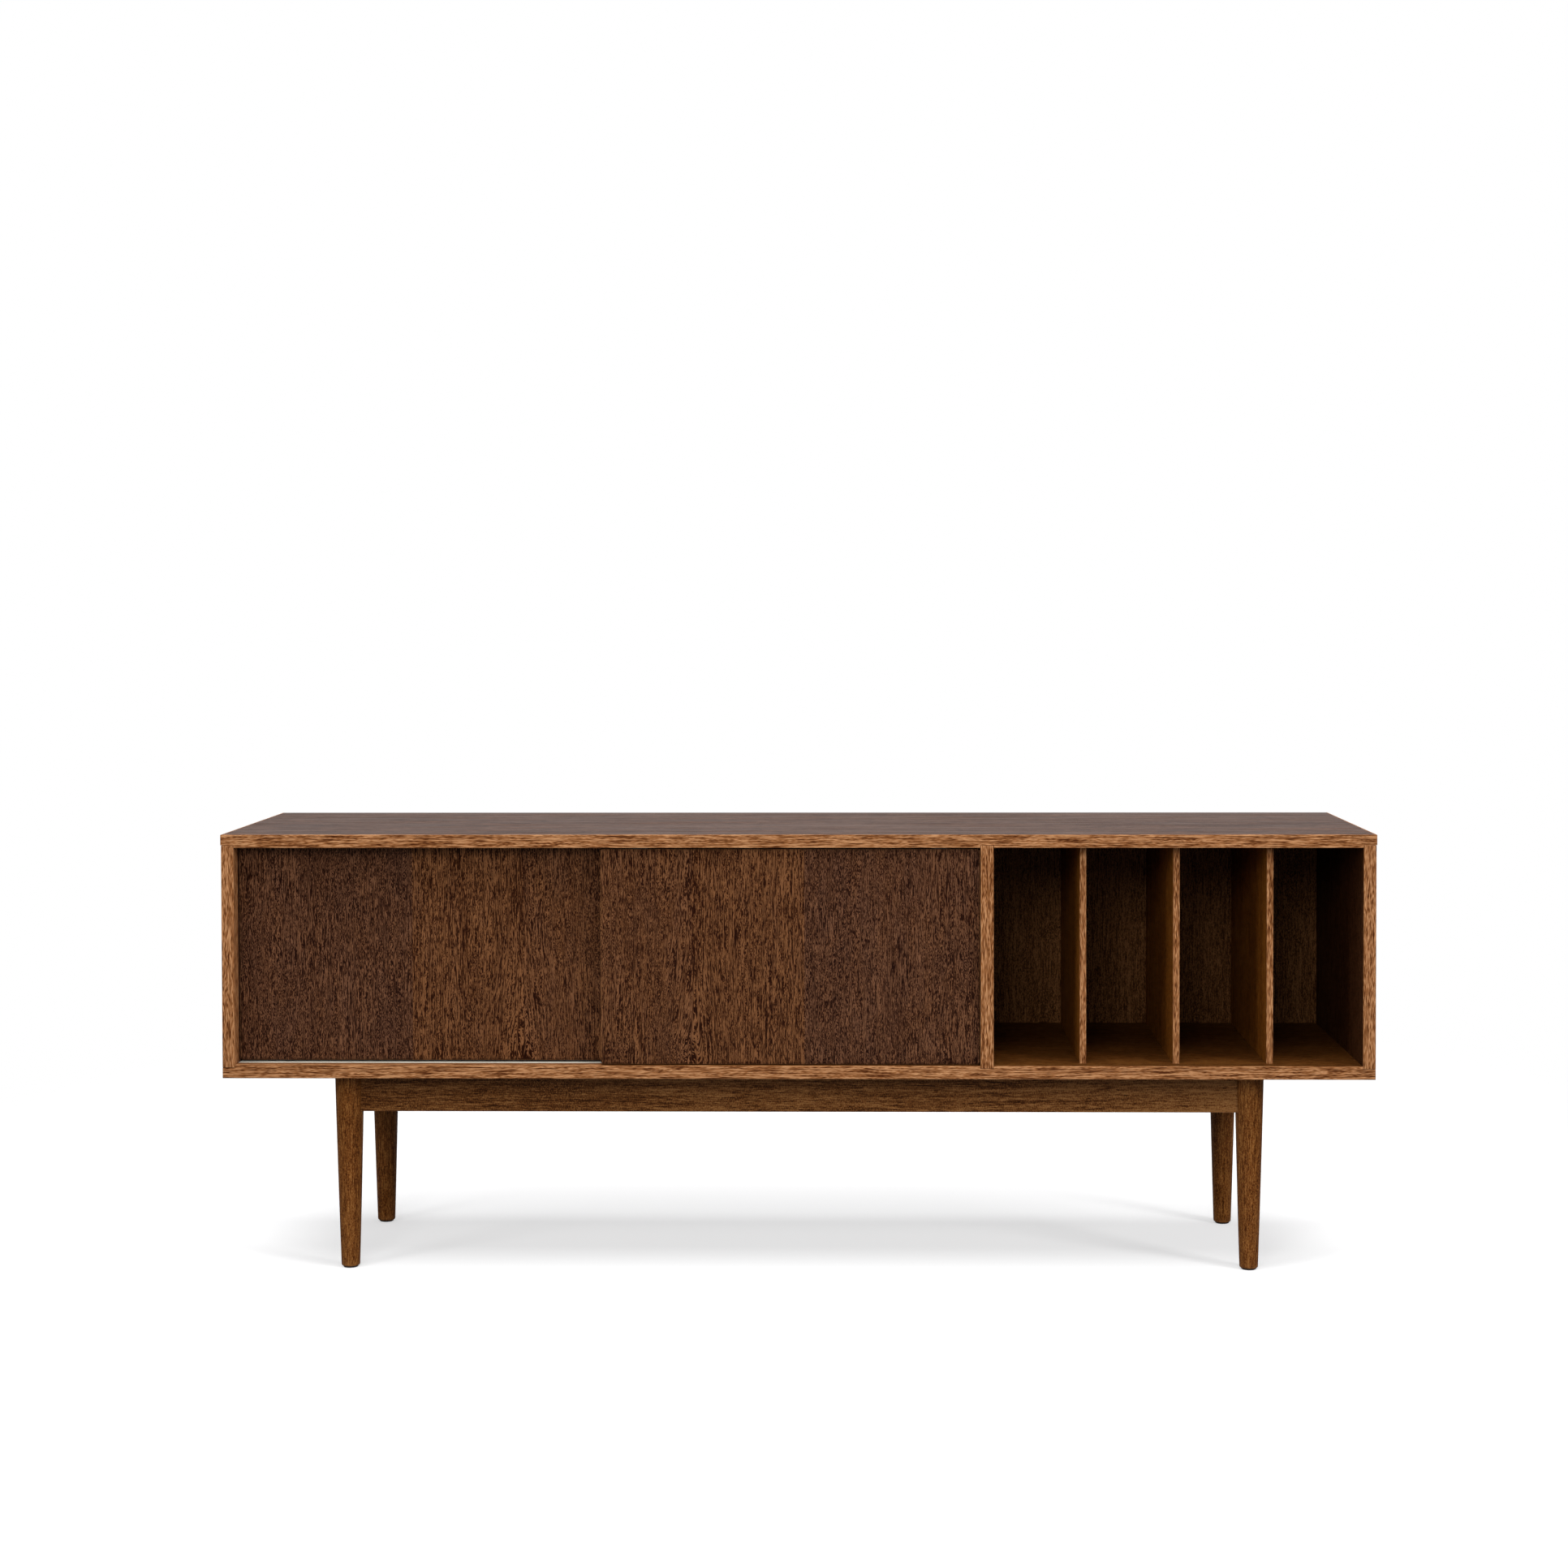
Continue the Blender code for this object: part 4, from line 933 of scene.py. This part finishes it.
def moulded_plastic(name, tint, rough, seed):
    """Moulded plastic with a fine tooth, a little dust and faint flow marks."""
    material, bench = plain_material(name)
    place = bench.node("ShaderNodeTexCoord", output="Object")
    shifted = moved(place, (0.29 * seed, 0.53 * seed, 0.11 * seed))
    tooth = noise(shifted, 4200.0, 4200.0, 1.0) - 0.5
    flow = noise(shifted, 60.0, 190.0, 2.0) - 0.5
    dust = eased(noise(shifted, 700.0, 700.0, 3.0, 0.6), 0.60, 0.72)
    dark, pale = [seen(*[min(255, value * share) for value in tint]) for share in (0.86, 1.12)]
    colour = between(flow * 0.9 + tooth * 0.3 + 0.5, dark, pale)
    colour = mixed(dust * 0.10, colour, seen(*DUST))
    roughness = tooth * 0.12 + flow * 0.15 + dust * 0.20 + rough
    normal = bench.node("ShaderNodeBump", None, {"Strength": 0.2, "Distance": 0.00005, "Height": tooth})
    sockets = {"Base Color": colour, "Roughness": roughness, "Normal": normal}
    finished(bench, bench.node("ShaderNodeBsdfPrincipled", None, sockets))
    return material


print("finishes for drawn metal and moulded plastic")

# %% [markdown]
# Each fitting takes the finish of the material that it has in the CAD model. The
# bottom track is the exception. Its rear lane is bright, and its front lane has a
# brown skin that is lost against the oak, so that only one thin bright line shows.

# %% Dress the fittings
TRACK_TINT = (236, 228, 212)
BROWN_SETBACK = 0.007
track_low, track_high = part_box("bottom_track")
LANE_EDGE = (track_low.y + track_high.y) / 2 - BROWN_SETBACK
FINISHES = {
    "aluminium": lambda name, seed: drawn_metal(name, TRACK_TINT, 0.55, "x", seed, 0.15),
    "steel": lambda name, seed: drawn_metal(name, STEEL_TINT, 0.34, "z", seed),
    "nylon": lambda name, seed: moulded_plastic(name, (188, 186, 180), 0.45, seed),
    "black_plastic": lambda name, seed: moulded_plastic(name, (34, 34, 35), 0.50, seed),
}
dress("bottom_track", drawn_metal("two_tone_track", TRACK_TINT, 0.55, "x", 1, 0.15, brown_before=LANE_EDGE))
dressed = 1
for number, (node, piece) in enumerate(sorted(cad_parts.items())):
    finish = FINISHES.get(piece.material_slots[0].material.name)
    if finish:
        dress(node, finish(node + "_finish", number + 1))
        dressed += 1
print("dressed", dressed, "fittings")

# %% [markdown]
# The back panel is let into rebates and held by small screws, which show when the
# cabinet stands away from a wall. Each has a low domed head, spun as the legs are,
# with two bars cut out of it for the cross recess, and stands along the panel's edge.

# %% Drive the back screws
HEAD_RADIUS, HEAD_RISE = 0.0038, 0.0014
RECESS_REACH, RECESS_WIDTH, RECESS_DEPTH = 0.0022, 0.0009, 0.0010
SHANK_SHARE, SHANK_STUB = 0.5, 0.001
CUTTER_RISE = 0.001
DOME_STEPS, HEAD_SIDES, HEAD_SHARPEST = 6, 32, 40
EDGE_INSET = 0.006
COLUMNS = 8


def screw_head(name, place):
    """A domed screw head that faces +Y, with a cross cut in it, standing on a panel at place."""
    shank = HEAD_RADIUS * SHANK_SHARE
    outline = [(0.0, -SHANK_STUB), (shank, -SHANK_STUB), (shank, 0.0)]
    for step in range(DOME_STEPS + 1):
        angle = math.pi / 2 * step / DOME_STEPS
        outline.append((HEAD_RADIUS * math.cos(angle), HEAD_RISE * math.sin(angle)))
    head = spun(name, outline, (0, 0, 0), HEAD_SIDES)
    top, depth = HEAD_RISE + CUTTER_RISE, HEAD_RISE - RECESS_DEPTH
    half = RECESS_WIDTH / 2
    bars = [
        block(name + "_slot", (-RECESS_REACH, -half, depth), (RECESS_REACH, half, top)),
        block(name + "_cross", (-half, -RECESS_REACH, depth), (half, RECESS_REACH, top)),
    ]
    carve(head, bars)
    head.data.transform(Matrix.Translation(place) @ Matrix.Rotation(-math.pi / 2, 4, "X"))
    smooth(head, HEAD_SHARPEST)
    return head


back_low, back_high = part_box("back_panel")
inset = Vector((EDGE_INSET, 0, EDGE_INSET))
inner_low, inner_high = back_low + inset, back_high - inset
places = []
for step in range(COLUMNS):
    x = inner_low.x + (inner_high.x - inner_low.x) * step / (COLUMNS - 1)
    places += [(x, inner_low.z), (x, inner_high.z)]
places += [(x, (inner_low.z + inner_high.z) / 2) for x in (inner_low.x, inner_high.x)]
for number, (x, z) in enumerate(places):
    screw = screw_head(f"back_screw_{number + 1}", (x, back_high.y, z))
    screw.data.materials.append(drawn_metal(f"back_screw_{number + 1}_zinc", STEEL_TINT, 0.34, "x", number))
    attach(screw, "case")
print("drove", len(places), "screws of", len(screw.data.polygons), "faces")
